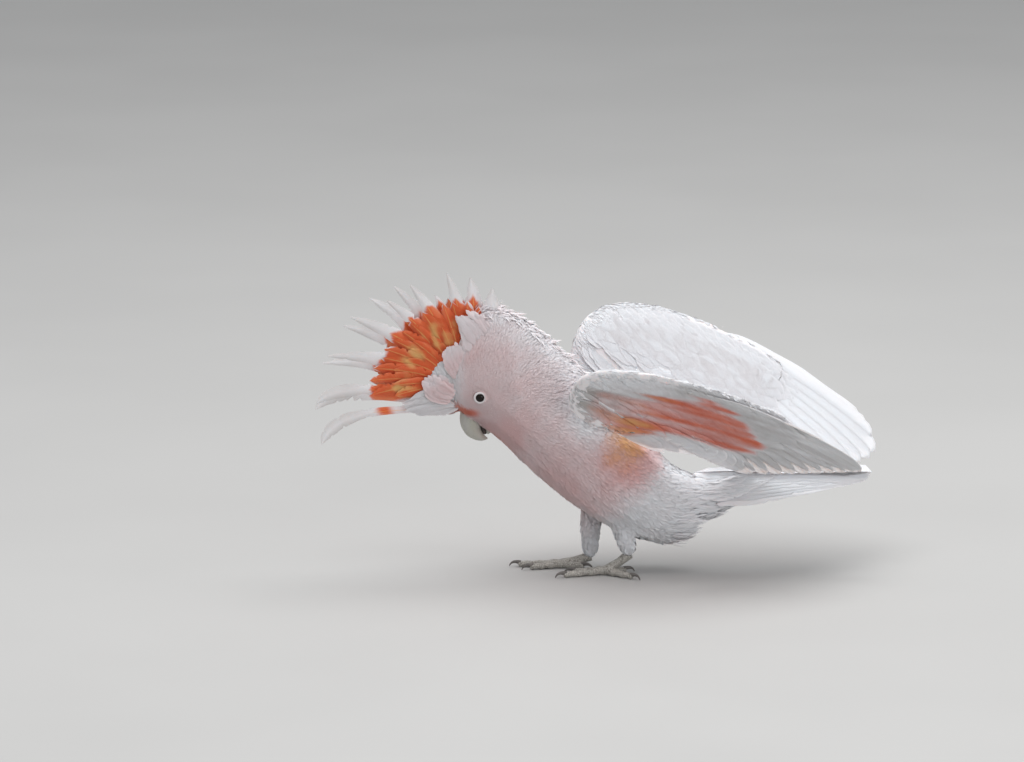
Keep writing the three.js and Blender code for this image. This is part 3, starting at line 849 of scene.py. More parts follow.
TRIALS = 150000  # places tried for the coat's tufts
TUFTS_A_PIECE = 4000
BARBS = 3  # in each tuft
TUFT_SPACING, TUFT_GAPS = 0.155, (0.65, 1.85)  # a share of the length, within these limits
TUFT_WIDTH, TUFT_FAN, TUFT_SWAY = 0.2, (0.14, 0.26), 0.08
TUFT_STAND = (0.68, 0.92)  # how high the tips stand, as shares of the coat's depth
ROOT_DEPTH = 0.4
WING_TUFTS = 15.0  # how far back from its leading edge a wing wears them
BARE_WING = 60.0  # spacing that leaves next to no tufts on the rest of a wing
HORN_ROOM = 1.2  # no tufts closer than this to the bill
# Name, parts of the flesh as numbers in FLESH, and how rounded the barbs are shaded.
COAT_ZONES = (
    ("head", (HEAD,), 0.22), ("neck", (1,), 0.22), ("trunk", (2,), 0.22), ("thighs", THIGHS, 0.22),
    ("wing_left", WINGS[:1], 0.5), ("wing_right", WINGS[1:], 0.9),
)


def wing_plan(points, hand):
    """Places on a wing as (along, lead, up) in its plan."""
    return carry(points, np.linalg.inv(wing_matrix(hand)))


def from_leading_edge(plan):
    """How far back from a wing's leading edge a place in its plan is."""
    return np.interp(plan[..., 0], ARM_EDGE[:, 0], ARM_EDGE[:, 2]) - plan[..., 1]


def on_wing_edge(points, part):
    """Where the wing wears small tufts: by its leading edge, by the shoulder and by the body."""
    found = (part >= WINGS[0]) & (from_body(points, part) < NEAR_BODY)
    for k, hand in zip(WINGS, HANDS.values()):
        plan = wing_plan(points, hand)
        found |= (part == k) & ((from_leading_edge(plan) < WING_TUFTS) | (plan[:, 0] < WING_TUFTS))
    return found


def coat_sizes(points, part):
    """Length and lift of the coat's tufts, by place."""
    x, z = points[:, 0], points[:, 2]
    length = np.interp(from_side(points, BILL_BASE), [6, 25, 60, 110, 160], [2.2, 5.0, 7.5, 10.5, 13.0])
    length = np.minimum(length, 2.0 + 0.33 * np.maximum(from_side(points, EYE) - 5.0, 0))
    length *= 1 + 0.35 * ease(70, 45, z) * ease(20, 60, x)
    nape = ease(0, 30, past_nape(x, z) - 14) * ease(10, -20, x)
    length *= 1 + 0.25 * nape
    front = ease(-117, -128, x) * ease(146, 156, z)
    length = length * (1 - front) + front * 15
    lift = 0.25 + 0.7 * nape + 0.45 * ease(60, 40, z) - 0.1 * front
    wing = part >= WINGS[0]
    away = ease(4, NEAR_BODY, from_body(points, part))
    return np.where(wing, 11.0 - 3.0 * away, length), np.where(wing, 0.12 - 0.1 * away, lift)


def tuft_marks(normals, part, gap):
    """Markings of tufts with these roots: the body's own, passing to the wing's away from the body."""

    def marks(points, along):
        found = body_marks(points[:, :1].repeat(points.shape[1], 1))
        found["blush"] = found["blush"] - 0.12 * (along - 0.5)
        found["shade"] = found["shade"] + 0.16 * (1 - along) ** 2
        for k, hand in zip(WINGS, HANDS.values()):
            here = part == k
            side = np.sign(normals[here] @ wing_matrix(hand)[:3, 2])[:, None]
            worn = wing_marks(hand)(points[here], side, along[here])
            away = ease(3, 20, gap[here])[:, None]
            for title in MASKS:
                found[title][here] = found[title][here] * (1 - away) + worn[title] * away
        return found

    return marks


def coat_spacing(points, part):
    """How far apart the roots of tufts stand, by place."""
    gap = np.clip(coat_sizes(points, part)[0] * TUFT_SPACING, *TUFT_GAPS)
    return np.where((part < WINGS[0]) | on_wing_edge(points, part), gap, BARE_WING)


def coat_roots(rng, eye_room):
    """Roots of the coat's tufts, clear of the eyes and the bill."""
    roots = scatter(rng, TRIALS, coat_spacing)
    points, part = roots["points"], roots["part"]
    horn = tree_of(["bill_upper", "bill_lower"], FROM_BODY)
    far = 9.0
    to_horn = np.array([horn.find_nearest(place, far)[3] or far for place in points.tolist()])
    keep = (part < WINGS[0]) | on_wing_edge(points, part)
    keep &= ((from_side(points, EYE) > eye_room) | (points[:, 0] > -95)) & (to_horn > HORN_ROOM)
    return {title: values[keep] for title, values in roots.items()}


def make_coat(palette, sizes):
    """Small feathers over head, neck, trunk and thighs, and where the wings meet the body."""
    rng = np.random.default_rng(11)
    roots = coat_roots(rng, mm(sizes.eye_room))
    points, normals, lie = roots["points"], roots["normals"], roots["lie"]
    count = len(points)
    length, lift = coat_sizes(points, roots["part"])
    length = length * rng.uniform(0.8, 1.2, count)
    sway = rng.normal(0, TUFT_SWAY, count)
    across = np.cross(normals, lie)
    lie = unit(lie * np.cos(sway)[:, None] + across * np.sin(sway)[:, None])
    across = np.cross(normals, lie)
    triangles = read(made["skin"]["mesh"].loop_triangles, "vertices", kind=np.int32)
    tree = BVHTree.FromPolygons(made["skin"]["points"].tolist(), triangles.tolist())
    gap = from_body(points, roots["part"])
    depth = roots["depth"] + 1.4 * (roots["part"] >= WINGS[0]) * ease(NEAR_BODY, 6, gap)
    stand = depth * rng.uniform(*TUFT_STAND, count)
    path = np.empty((count, 4, 3))
    path[:, 0] = points - normals * ROOT_DEPTH
    for k, share in enumerate(BARB_STATIONS[1:], 1):
        ground, facing = laid(tree, points + lie * (length * share)[:, None])
        height = stand * (0.5 + 0.5 * share) + lift * length * 0.2 * share**2
        path[:, k] = ground + facing * height[:, None]
    finish = plumage("plumage_coat", palette, False)
    for title, parts, rounded in COAT_ZONES:
        chosen = np.flatnonzero(np.isin(roots["part"], parts))
        chosen = chosen[np.argsort(points[chosen, 0])]
        for k, some in enumerate(np.array_split(chosen, math.ceil(len(chosen) / TUFTS_A_PIECE))):
            batch = Batch()
            marks = tuft_marks(normals[some], roots["part"][some], gap[some])
            tufts(
                batch, points[some], path[some], across[some], normals[some], length[some] * TUFT_WIDTH,
                rng.uniform(*TUFT_FAN, len(some)), BARBS, roots["uv"][some], marks, rng, rounded,
            )
            batch.piece(f"coat_{title}_{k + 1}", finish, "body_feathers")


# ---------------------------------------------------------------- loose feathers over the coat


SOFT_PROFILE = ([0, 0.2, 0.6, 0.85, 1.0], [0.3, 0.8, 1.0, 0.6, 0.05])


def loose(batch, rng, tree, starts, ways, length, width, lift, marks, *, profile=SOFT_PROFILE, splits=2.0):
    """Soft single feathers rooted on the flesh near each start, running along ways and rising by lift."""
    ground, facing = laid(tree, starts)
    ways = unit(ways - facing * (ways * facing).sum(1)[:, None])
    count = len(starts)
    length = length * rng.uniform(0.8, 1.15, count)
    run = ways * length[:, None]
    root = ground - facing * 0.8
    rise = (lift * length)[:, None] * facing
    ends = np.stack([root, ground + run * 0.5 + rise * 0.65 + facing * 1.2, ground + run + rise], 1)
    outline = np.interp(np.linspace(0, 1, 11), *profile)
    half = ragged(rng, outline * width / 2, count, 0.5, splits)
    blades(batch, ends, np.stack([facing, facing], 1), half, marks, COLUMNS_FINE, **LOOSE_BLADE)


def coat_marks(pale):
    """The body's own markings, fading to white along the feather."""

    def marks(points, along, across):
        found = body_marks(points)
        for title in ("blush", "ember", "amber"):
            found[title] = np.clip(found[title], 0, 1) * (1 - pale * along)
        return found

    return marks


# The ridge of the neck seen from the side, from the crown down to the back.
NAPE_LINE = np.array([[-112, 243], [-100, 251], [-72, 241], [-42, 215.5], [-4, 176], [20, 150]])
NAPE_PROFILE = ([0, 0.3, 0.6, 0.85, 1.0], [0.9, 1.0, 0.7, 0.3, 0.04])
NAPE_COUNT = 480
# Loose down: count, lowest and highest corner of where it starts, its way, length, width and lift.
DOWN = (
    (560, (60, -36, 26), (98, 36, 60), (1.0, 0.0, -0.12), 17.0, 2.4, 0.15),
    (420, (66, -36, 44), (106, 36, 90), (1.0, 0.0, 0.06), 17.0, 2.6, 0.06),
    (300, (60, -26, 84), (116, 26, 96), (1.0, 0.0, 0.02), 15.0, 3.0, 0.02),
)


def nape_tips(batch, rng, tree, length):
    """Short tips scattered along the ridge of the neck, raised most on the ridge itself."""
    count = NAPE_COUNT
    share = np.sort(rng.uniform(0, 1, count))
    line = np.linspace(0, 1, len(NAPE_LINE))
    off = rng.normal(0, 6.0, count)
    x, z = (np.interp(share, line, NAPE_LINE[:, k]) for k in (0, 1))
    slope = np.stack([np.interp(share, line, np.gradient(NAPE_LINE[:, k])) for k in (0, 1)], 1)
    starts = np.stack([x, off, z - 0.012 * off**2], 1)
    ways = unit(np.stack([slope[:, 0], off * 0.5, slope[:, 1]], 1)) + rng.normal(0, 0.3, starts.shape)
    raised = (0.4 * near_line(off, 0, 4.0) + 0.03) * rng.uniform(0.2, 1.4, count)
    loose(batch, rng, tree, starts, ways, length, 1.9, raised, coat_marks(0.1), profile=NAPE_PROFILE)


def make_ruffles(palette, sizes):
    """Raised nape tips, and the loose down of flanks, rump and vent."""
    rng = np.random.default_rng(23)
    tree = tree_of(FLESH[:WINGS[0]], FROM_BODY)
    finish = plumage("plumage_ruffle", palette, True)
    batch = Batch()
    nape_tips(batch, rng, tree, mm(sizes.nape_tip))
    batch.piece("nape_ruffle", finish, "body_feathers")
    batch = Batch()
    for count, low, high, way, length, width, lift in DOWN:
        starts = rng.uniform(low, high, (count, 3))
        ways = np.broadcast_to(np.array(way), starts.shape) + rng.normal(0, 0.07, starts.shape)
        raised = lift * rng.uniform(0.3, 1.3, count) * ease(58, 92, starts[:, 0])
        loose(batch, rng, tree, starts, ways, length, width, raised, coat_marks(0.9), splits=1.0)
    batch.piece("vent_down", finish, "body_feathers")


# ---------------------------------------------------------------- wings

WING_ORIGIN = np.array([-20.0, 51.0, 204.0])
WING_ALONG = np.array([0.938, -0.055, -0.341])
WING_LEAD = np.array([0.3, 0.62, 0.724])
WING_PIVOT = np.array([158.0, 0.0, 139.0])
# What sets the two wings apart: how far out, turned about the pivot, and how the tips lie in the plan.
WING_OUT = {-1: 8.0, 1: 0.0}
WING_TURN = {-1: 0.05, 1: 0.0}
WING_SPREAD = {-1: (-8.0, -8.0), 1: (5.0, 4.0)}
TIP_BULGE = {-1: (12.8, 5.0), 1: (21.0, -9.0)}
COVERT_LIE = -19  # degrees in the plan, for the small feathers
# The arm's trailing and leading edge, as (along, trail, lead) in the plan.
ARM_EDGE = np.array([
    [-2.5, -16, 6], [2, -28, 22], [14, -37, 38], [34, -45, 48.5], [58, -42, 54.5],
    [84, -38, 56.5], [112, -38, 56], [140, -34, 53.5], [166, -20, 48.5], [186, -2, 41],
])


def wing_matrix(hand):
    """From a wing's plan (along, lead, up) to the bird's frame."""
    along = unit(WING_ALONG)
    lift = unit(np.cross(along, WING_LEAD))
    plane = np.eye(4)
    plane[:3, 0] = along
    plane[:3, 1] = np.cross(lift, along)
    plane[:3, 2] = lift
    plane[:3, 3] = WING_ORIGIN + np.array([0, WING_OUT[hand], 0])
    lowered = np.array(Matrix.Rotation(-WING_TURN[hand], 4, "Y"))
    lowered[:3, 3] = WING_PIVOT - lowered[:3, :3] @ WING_PIVOT
    return np.diag([1.0, hand, 1.0, 1.0]) @ lowered @ plane


class Drape:
    """Heights of a wing's upper and lower surface over its plan, read from the CAD nodes."""

    LOW = (-16.0, -84.0)
    STEP = 4.0
    SIZE = (80, 38)
    ABOVE = 70.0  # where the rays start

    def __init__(self, which):
        nodes = [f"wing_{which}", f"primaries_{which}", f"secondaries_{which}"]
        tree = tree_of(nodes, np.linalg.inv(BODY @ wing_matrix(HANDS[which])))
        self.height = {}
        for side in (1, -1):
            grid = np.full(self.SIZE, np.nan)
            for i in range(self.SIZE[0]):
                for j in range(self.SIZE[1]):
                    start = (self.LOW[0] + i * self.STEP, self.LOW[1] + j * self.STEP, self.ABOVE * side)
                    hit = tree.ray_cast(start, (0, 0, -side))[0]
                    if hit is not None:
                        grid[i, j] = hit[2]
            self.height[side] = self._filled(grid)

    @staticmethod
    def _around(padded):
        """The four neighbours of every place in a grid that is padded by one."""
        return np.stack([padded[2:, 1:-1], padded[:-2, 1:-1], padded[1:-1, 2:], padded[1:-1, :-2]])

    def _filled(self, grid):
        """Spreads the known heights outwards, then smooths them."""
        while np.isnan(grid).any():
            around = self._around(np.pad(grid, 1, constant_values=np.nan))
            known = ~np.isnan(around)
            mean = np.where(known, around, 0).sum(0) / np.maximum(known.sum(0), 1)
            grid = np.where(np.isnan(grid) & known.any(0), mean, grid)
        for _ in range(2):
            grid = 0.5 * grid + 0.125 * self._around(np.pad(grid, 1, mode="edge")).sum(0)
        return grid

    def at(self, plan, side):
        """Heights at (n, 2) places in the plan."""
        u = np.clip((plan[..., 0] - self.LOW[0]) / self.STEP, 0, self.SIZE[0] - 1.001)
        v = np.clip((plan[..., 1] - self.LOW[1]) / self.STEP, 0, self.SIZE[1] - 1.001)
        i, j = u.astype(int), v.astype(int)
        p, q = u - i, v - j
        grid = self.height[side]
        near = grid[i, j] * (1 - q) + grid[i, j + 1] * q
        far = grid[i + 1, j] * (1 - q) + grid[i + 1, j + 1] * q
        return near * (1 - p) + far * p


def quill_outline(share, width, tip=0.14, root=0.3):
    """Half widths of a flight feather at shares of its length."""
    grow = root + (1 - root) * ease(0, 0.22, share)
    end = np.sqrt(np.clip(1 - (np.maximum(share - (1 - tip), 0) / tip) ** 2, 0, 1))
    return width / 2 * grow * np.maximum(end, 0.05)


def quill_plan(hand, share, root, tip, bulge):
    """Root and tip in the plan, for shares of the way from the first feather to the last."""
    roots, tips = (a + (b - a) * share[:, None] for a, b in (np.array(root, float), np.array(tip, float)))
    swell = bulge * np.sin(math.pi * share**0.62)
    tips = tips + swell[:, None] * np.array(TIP_BULGE[hand]) + np.array(WING_SPREAD[hand])
    return roots, tips


# The coloured patch under a wing, as (along, lead, trail) in the plan.
UNDERWING = np.array([
    [10, 12, -34], [43, 18, -46], [66, 26, -42], [86, 32, -33], [115, 39, -30], [139, 31, -33],
    [152, 20, -34], [168, 2, -30], [181, -17, -24], [186, -22, -22],
])


def wing_marks(hand):
    """Markings on a wing, by place in its plan. Only the underside is coloured."""
    back = np.linalg.inv(wing_matrix(hand))

    def marks(points, side, along):
        plan = carry(points, back)
        a, l = plan[..., 0], plan[..., 1]
        wave = ripple(plan * np.array([0.16, 1.3, 0.0]), 6, 21)
        upper, lower = (np.interp(a, UNDERWING[:, 0], UNDERWING[:, k]) for k in (1, 2))
        inside = np.minimum(upper - l, l - lower) + 4.5 * wave
        patch = ease(-5, 8, inside) * (0.45 * ease(8, 26, a) + 0.55 * ease(34, 84, a)) * ease(187, 174, a)
        warm = spot(a, l, (60, -30), (24, 13))
        white_edge = ease(-4, 8, l - upper) * ease(92, 62, a)
        inner = ease(4, -8, l - lower) * ease(178, 150, a)
        beige = (0.42 + 0.1 * wave - 0.4 * white_edge - 0.34 * inner) * ease(1, 8, from_leading_edge(plan))
        beige = beige + 0.35 * ease(74, 30, a) * ease(2, 22, a) * ease(-6, 6, inside) * (1 + 0.6 * wave)
        below = {
            "blush": 0.02 + 0.8 * patch + 0.3 * warm,
            "ember": 0.66 * patch * (0.9 + 0.3 * wave) + 0.34 * warm,
            "amber": 0.3 * patch * (1 + wave) * ease(110, 50, a) + 0.3 * warm,
            "shade": beige * (1 - 0.75 * patch) * (1 - 0.6 * warm),
        }
        top_blush = 0.1 * spot(a, l, (120, 20), (90, 40)) * (1 - along) - 0.1
        above = {"blush": top_blush, "shade": 0.04 + 0.06 * (1 - along)}
        return {title: np.where(side < 0, worn, above.get(title, 0.0)) for title, worn in below.items()}

    return marks


# Flight feathers: size that gives their width, count, first and last root and tip in the plan, share of
# TIP_BULGE, bow, height of the first one, turn of the last one about the arm, and how long the end is.
FLIGHT_SETS = (
    ("primary", 10, [[92, 43], [56, 10]], [[276, 2], [204, -52]], 1, 0.055, -2.6, 0.0, 0.2),
    ("secondary", 9, [[50, 6], [60, -16]], [[192, -58], [112, -22]], 0, 0.02, 1.6, 0.26, 0.12),
)
STACKED = 0.42  # height of each flight feather over the one before
SAG = 1.6
REAR_VANE = {-1: 0.9, 1: 1.12}


def quill_marks(hand):
    """A wing's markings on its flight feathers, with a darker shaft and a pale edge below."""
    marks = wing_marks(hand)

    def mark(points, along, across):
        side = np.ones(points.shape[:-1])
        side[:, 1] = -1
        found = marks(points, side, along)
        found["shade"] += 0.12 * near_line(across, 0, 0.07) - 0.1 * (np.abs(across) > 0.9) * (side < 0)
        found["ember"] *= 0.85
        return found

    return mark


def quills(which, batch, rng, sizes):
    """Flight feathers of one wing."""
    hand = HANDS[which]
    plane = wing_matrix(hand)

    def place(plan, height, turn):
        """Plan points (n, 2) at heights, turned about the arm's line, in the bird's frame."""
        return carry(np.stack([plan[:, 0], *turned(plan[:, 1], height, turn)], 1), plane)

    for title, count, root, tip, bulge, bow, level, droop, pointed in FLIGHT_SETS:
        share = np.arange(count) / (count - 1)
        roots, tips = quill_plan(hand, share, root, tip, bulge)
        turn = droop * share
        height = level + STACKED * np.arange(count)
        run = tips - roots
        bent = (roots + tips) / 2 + 2 * bow * np.stack([-run[:, 1], run[:, 0]], 1)
        rooted = place(roots, height, turn * 0.5)
        ends = np.stack([rooted, place(bent, height + SAG, turn * 0.9), place(tips, height, turn)], 1)
        up = place(roots, height + 1, turn) - place(roots, height, turn)
        outline = quill_outline(np.linspace(0, 1, 42), mm(getattr(sizes, title)), pointed)
        half = ragged(rng, outline, count, 0.16, 2.2)
        ups = np.stack([up, up], 1)
        blades(batch, ends, ups, half, quill_marks(hand), COLUMNS_WIDE, rear=REAR_VANE[hand], **QUILL_BLADE)


# Bands of coverts from the leading edge back: where each starts and ends behind that edge, the length and
# width of its feathers, and how far apart they stand along and across the wing.
COVERT_BANDS = (
    (9.0, 30.0, 19.0, 8.5, 8.0, 5.0),
    (24.0, 52.0, 28.0, 12.0, 12.0, 7.5),
    (42.0, 74.0, 42.0, 15.0, 17.0, 9.5),
    (66.0, 106.0, 52.0, 17.0, 20.0, 11.0),
)


def covert_places(rng, start, end, length, step, gap):
    """Roots in the plan of one band of coverts, in staggered rows, and how large each feather is."""
    plan, size = [], []
    for row in range(int((end - start) / gap) + 1):
        back = start + row * gap
        for a in np.arange(8 + step / 2 * (row % 2), 190, step):
            trail, lead = (np.interp(a, ARM_EDGE[:, 0], ARM_EDGE[:, k]) for k in (1, 2))
            l = lead - back + rng.normal(0, gap * 0.12)
            bare = 14 * ease(50, 34, a)
            if l < trail - 2 + bare or a + length * 0.9 > 214 - 0.4 * back:
                continue
            plan.append((a + rng.normal(0, step * 0.1), l))
            size.append(rng.uniform(0.9, 1.1))
    return np.array(plan), np.array(size)


def coverts(which, side, batch, drape, rng):
    """The small feathers that cover one side of the arm."""
    plane = wing_matrix(HANDS[which])
    marks = wing_marks(HANDS[which])
    for start, end, length, width, step, gap in COVERT_BANDS:
        plan, size = covert_places(rng, start, end, length, step, gap)
        count = len(plan)
        if count == 0:
            raise RuntimeError(f"no coverts on wing_{which} in the band from {start} mm")
        turn = np.radians(rng.normal(COVERT_LIE, 3.0, count) - 4 * ease(60, 0, plan[:, 0]))
        way = np.stack(turned(1, 0, turn), 1)
        long = length * size
        rest = np.array([0.05, 0.2, 0.22]) * (0.6 + width / 30)
        ends = []
        for share, lifted in zip((0.0, 0.5, 1.0), rest):
            at = plan + way * (long * share)[:, None]
            level = drape.at(at, side) + side * (lifted + rng.uniform(0, 0.08, count))
            ends.append(np.column_stack([at, level]))
        ends = np.stack(ends, 1)
        ends[:, 1] = 2 * ends[:, 1] - (ends[:, 0] + ends[:, 2]) / 2
        lifted = np.zeros((count, 2, 3))
        lifted[..., 2] = side
        ends = carry(ends.reshape(-1, 3), plane).reshape(count, 3, 3)
        ups = lifted @ plane[:3, :3].T
        outline = quill_outline(np.linspace(0, 1, 7), width, 0.5, 0.35)
        half = outline[None] * size[:, None] * (1 + 0.06 * rng.normal(size=(count, len(outline))))

        def mark(points, along, across):
            found = marks(points, np.full(points.shape[:-1], side), along)
            found["shade"] += 0.04 * (1 - along) ** 2
            return found

        blades(batch, ends, ups, half, mark, COLUMNS_SMALL, **COVERT_BLADE)


def make_wings(palette, sizes):
    """The flight feathers of both wings, and the coverts over and under their arms."""
    finish = plumage("plumage_vane", palette, True)
    for which in HANDS:
        rng = np.random.default_rng(31 + HANDS[which])
        batch = Batch()
        quills(which, batch, rng, sizes)
        nodes = (f"primaries_{which}", f"secondaries_{which}")
        batch.piece(f"flight_feathers_{which}", finish, "wing_feathers", nodes=nodes)
        drape = Drape(which)
        for side, title in ((1, "upper"), (-1, "under")):
            batch = Batch()
            coverts(which, side, batch, drape, rng)
            batch.piece(f"coverts_{title}_{which}", finish, "wing_feathers")


# ---------------------------------------------------------------- tail


TAIL_ROOT = (104, 89.4)  # where the middle feathers start, as (x, z)
TAIL_SLOPE, TAIL_FAN, TAIL_RISE = -0.52, -0.25, 0.02  # of the roof's sides, of the spread, towards the tip
TAIL_SPACING, TAIL_STEP = 5.8, -0.588  # from feather to feather, across and down
# Coverts of the tail: count, length, how much shorter towards the sides, width, rise, how far back they
# start, and level over the roof. The first two rows lie over the tail, the others under it.
TAIL_COVERTS = (
    (5, 66, 1.4, 16, 1.2, -12.0, 0.4),
    (5, 50, 1.2, 15, 2.0, -20.0, 0.8),
    (5, 74, 1.5, 16, -1.6, -14.0, -1.4),
    (4, 52, 1.5, 15, -2.6, -20.0, -2.8),
)


def tail_marks(points, along, across):
    """White, greyer at the shaft, at the edges and below, with some pink at the root."""
    lower = np.zeros(points.shape[:-1])
    lower[:, 1] = 1
    grey = 0.1 * near_line(across, 0, 0.06) + 0.06 * lower + 0.06 * ease(0.8, 1.0, np.abs(across))
    plain = np.zeros_like(along)
    return {"blush": 0.1 * ease(0.4, 0, along), "ember": plain, "amber": plain, "shade": grey}


def tail_row(batch, rng, count, length, shorter, width, rise, back, level, pointed):
    """A row of tail feathers on both sides of the middle."""
    i = np.arange(count)
    across = TAIL_SPACING * (i + 0.35)
    run = np.stack(turned(length - shorter * i**2, 0, TAIL_FAN * (i + 0.5) / count), 1)
    for hand in HANDS.values():
        ends = []
        for share, up in ((0.0, 0.0), (0.5, 0.5), (1.0, 0.0)):
            plan = run * share
            y, z = turned(across + plan[:, 1], TAIL_STEP * i + up + level, TAIL_SLOPE)
            x = TAIL_ROOT[0] + back + plan[:, 0]
            ends.append(np.stack([x, hand * y, TAIL_ROOT[1] + rise + z + TAIL_RISE * plan[:, 0]], 1))
        y, z = turned(0, 1, TAIL_SLOPE)
        ups = np.broadcast_to(np.array([0, hand * y, z]), (count, 2, 3))
        half = ragged(rng, quill_outline(np.linspace(0, 1, 30), width, pointed, 0.4), count, 0.2, 2.0)
        blades(batch, np.stack(ends, 1), ups, half, tail_marks, COLUMNS_WIDE, **TAIL_BLADE)


def make_tail(palette, sizes):
    """Twelve tail feathers in a low roof, with coverts over and under their roots."""
    rng = np.random.default_rng(41)
    batch = Batch()
    tail_row(batch, rng, 6, mm(sizes.tail), 0.5, mm(sizes.tail_width), 0.0, 0.0, 0.0, 0.045)
    for covert_row in TAIL_COVERTS:
        tail_row(batch, rng, *covert_row, 0.5)
    batch.piece("tail_feathers", plumage("plumage_tail", palette, True), "tail_feathers", nodes=("tail",))


# ---------------------------------------------------------------- crest

# Bearing in degrees and length of the long feathers, from the lowest over the bill to the last on the nape.
CREST_LONG = (
    (204, 134), (191, 130), (187, 127), (171, 122), (166, 120), (152, 116), (145.5, 116), (134.5, 113),
    (128, 103), (122, 108), (114, 105), (104, 86), (95.5, 108), (84, 100), (72, 97),
)
# Where the crest's orange ends: bearings, and distances from its centre.
CREST_LIMIT = ((60, 75, 80, 96, 109, 123, 157, 168, 190, 205), (72, 78, 81, 82, 78, 76.5, 76.5, 79, 82, 80))


def crest_marks(points, along, across):
    """Bands by distance from the crest's centre: vermilion, a yellow patch, vermilion, and white tips."""
    x, z = points[..., 0] - CREST_CENTRE[0], points[..., 2] - CREST_CENTRE[1]
    reach = np.hypot(x, z)
    angle = np.degrees(np.arctan2(z, x)) % 360
    wave = ripple(points, 6, 5)
    single = ripple(points[:, :1, :1, :1].repeat(points.shape[3], 3) * 3.0, 9, 6)
    limit = np.interp(angle, CREST_LIMIT[0], CREST_LIMIT[1]) + 2.5 * single + 1.5 * wave
    streak = ripple(np.stack([np.radians(angle) * 60, reach * 0.16, points[..., 1]], -1), 4.5, 8)
    limit = limit - 5 * np.abs(across) + 1.5 * streak
    band = ease(limit + 3, limit - 3, reach) * ease(12, 20, reach)
    low = ease(193, 198, angle)
    amber = near_line(reach - 4 * single, 49, 13) * (0.36 + 0.4 * streak + 0.3 * wave)
    amber = np.maximum(amber * (1 - low), 0) * band
    shaft = near_line(across, 0, 0.1) * ease(8, 30, reach) * 0.65
    return {
        "blush": 0.02 + 0.3 * low * ease(90, 60, reach) + 0.1 * (1 - along),
        "ember": band * (1 - low) + low * near_line(reach, 70, 7),
        "amber": np.maximum(amber, shaft * band),
        "shade": 0.16 + 0.3 * ease(70, 100, reach) * (0.4 + np.abs(across)),
    }


CREST_SPLITS = 4


def crest_blades(batch, rng, feathers, width, bend, lateral, profile, arcs=()):
    """Crest feathers in pairs of sides, along arcs from the crest's centre."""
    count = len(feathers)
    bearing, length = np.array(feathers, float).T
    angle = np.radians(bearing)
    hand = np.where(np.arange(count) % 2 == 0, -1.0, 1.0)
    ends = np.zeros((count, 3, 3))
    out = np.stack([np.cos(angle), np.zeros(count), np.sin(angle)], 1)
    turn = np.stack([-np.sin(angle), np.zeros(count), np.cos(angle)], 1)
    centre = np.array([CREST_CENTRE[0], 0, CREST_CENTRE[1]])
    sideways = np.array([0, 1.0, 0])
    ends[:, 0] = centre + out * 6 + sideways * (hand * lateral)[:, None]
    ends[:, 2] = centre + out * length[:, None] + sideways * (hand * (lateral + length * 0.03))[:, None]
    ends[:, 1] = (ends[:, 0] + ends[:, 2]) / 2 - turn * (2 * bend * length)[:, None]
    ends[:, 1] += sideways * (hand * 1.5)[:, None]
    for k, arc in enumerate(arcs):
        for point, (bearing, reach) in enumerate(arc):
            ends[k, point, [0, 2]] = centre[[0, 2]] + turned(reach, 0, math.radians(bearing))
    up = unit(sideways * hand[:, None] + turn * 0.16 * rng.normal(1, 0.5, count)[:, None])
    share = np.linspace(0, 1, 44)
    outline = np.broadcast_to(width / 2 * np.interp(share, *profile), (count, len(share))).copy()
    if arcs:
        outline[0] = width * 0.34 * np.interp(share, *CURLED_PROFILE)
        outline[1:len(arcs)] = width * 0.36 * np.interp(share, *ARCHED_PROFILE)
        outline[-2:] *= 1.6
    half = ragged(rng, outline, count, 0.4, CREST_SPLITS)
    blades(batch, ends, np.stack([up, up], 1), half, crest_marks, COLUMNS_WIDE, **CREST_BLADE)


# Widths of crest feathers: shares of the length, and shares of the greatest width.
LONG_PROFILE = ([0, 0.12, 0.35, 0.5, 0.62, 0.78, 0.92, 1.0], [0.25, 0.5, 0.95, 1.0, 0.74, 0.56, 0.3, 0.05])
SHORT_PROFILE = ([0, 0.2, 0.5, 0.8, 0.94, 1.0], [0.25, 0.6, 1.0, 0.85, 0.5, 0.1])
CURLED_PROFILE = ([0, 0.2, 0.4, 0.55, 0.75, 0.9, 1.0], [0.4, 0.6, 0.7, 0.95, 1.0, 0.7, 0.05])
ARCHED_PROFILE = ([0, 0.15, 0.35, 0.55, 0.75, 0.9, 1.0], [0.4, 0.8, 1.0, 1.0, 0.9, 0.6, 0.05])
LOBE_PROFILE = ([0, 0.25, 0.55, 0.8, 0.93, 1.0], [0.4, 0.8, 1.0, 0.9, 0.55, 0.1])
# The three lowest feathers run out level and curl down at the tip: bearing and reach of root and bend.
CREST_ARCS = (((224, 34), (189, 112)), ((228, 25), (177.5, 111)), ((225, 17), (176, 108)))
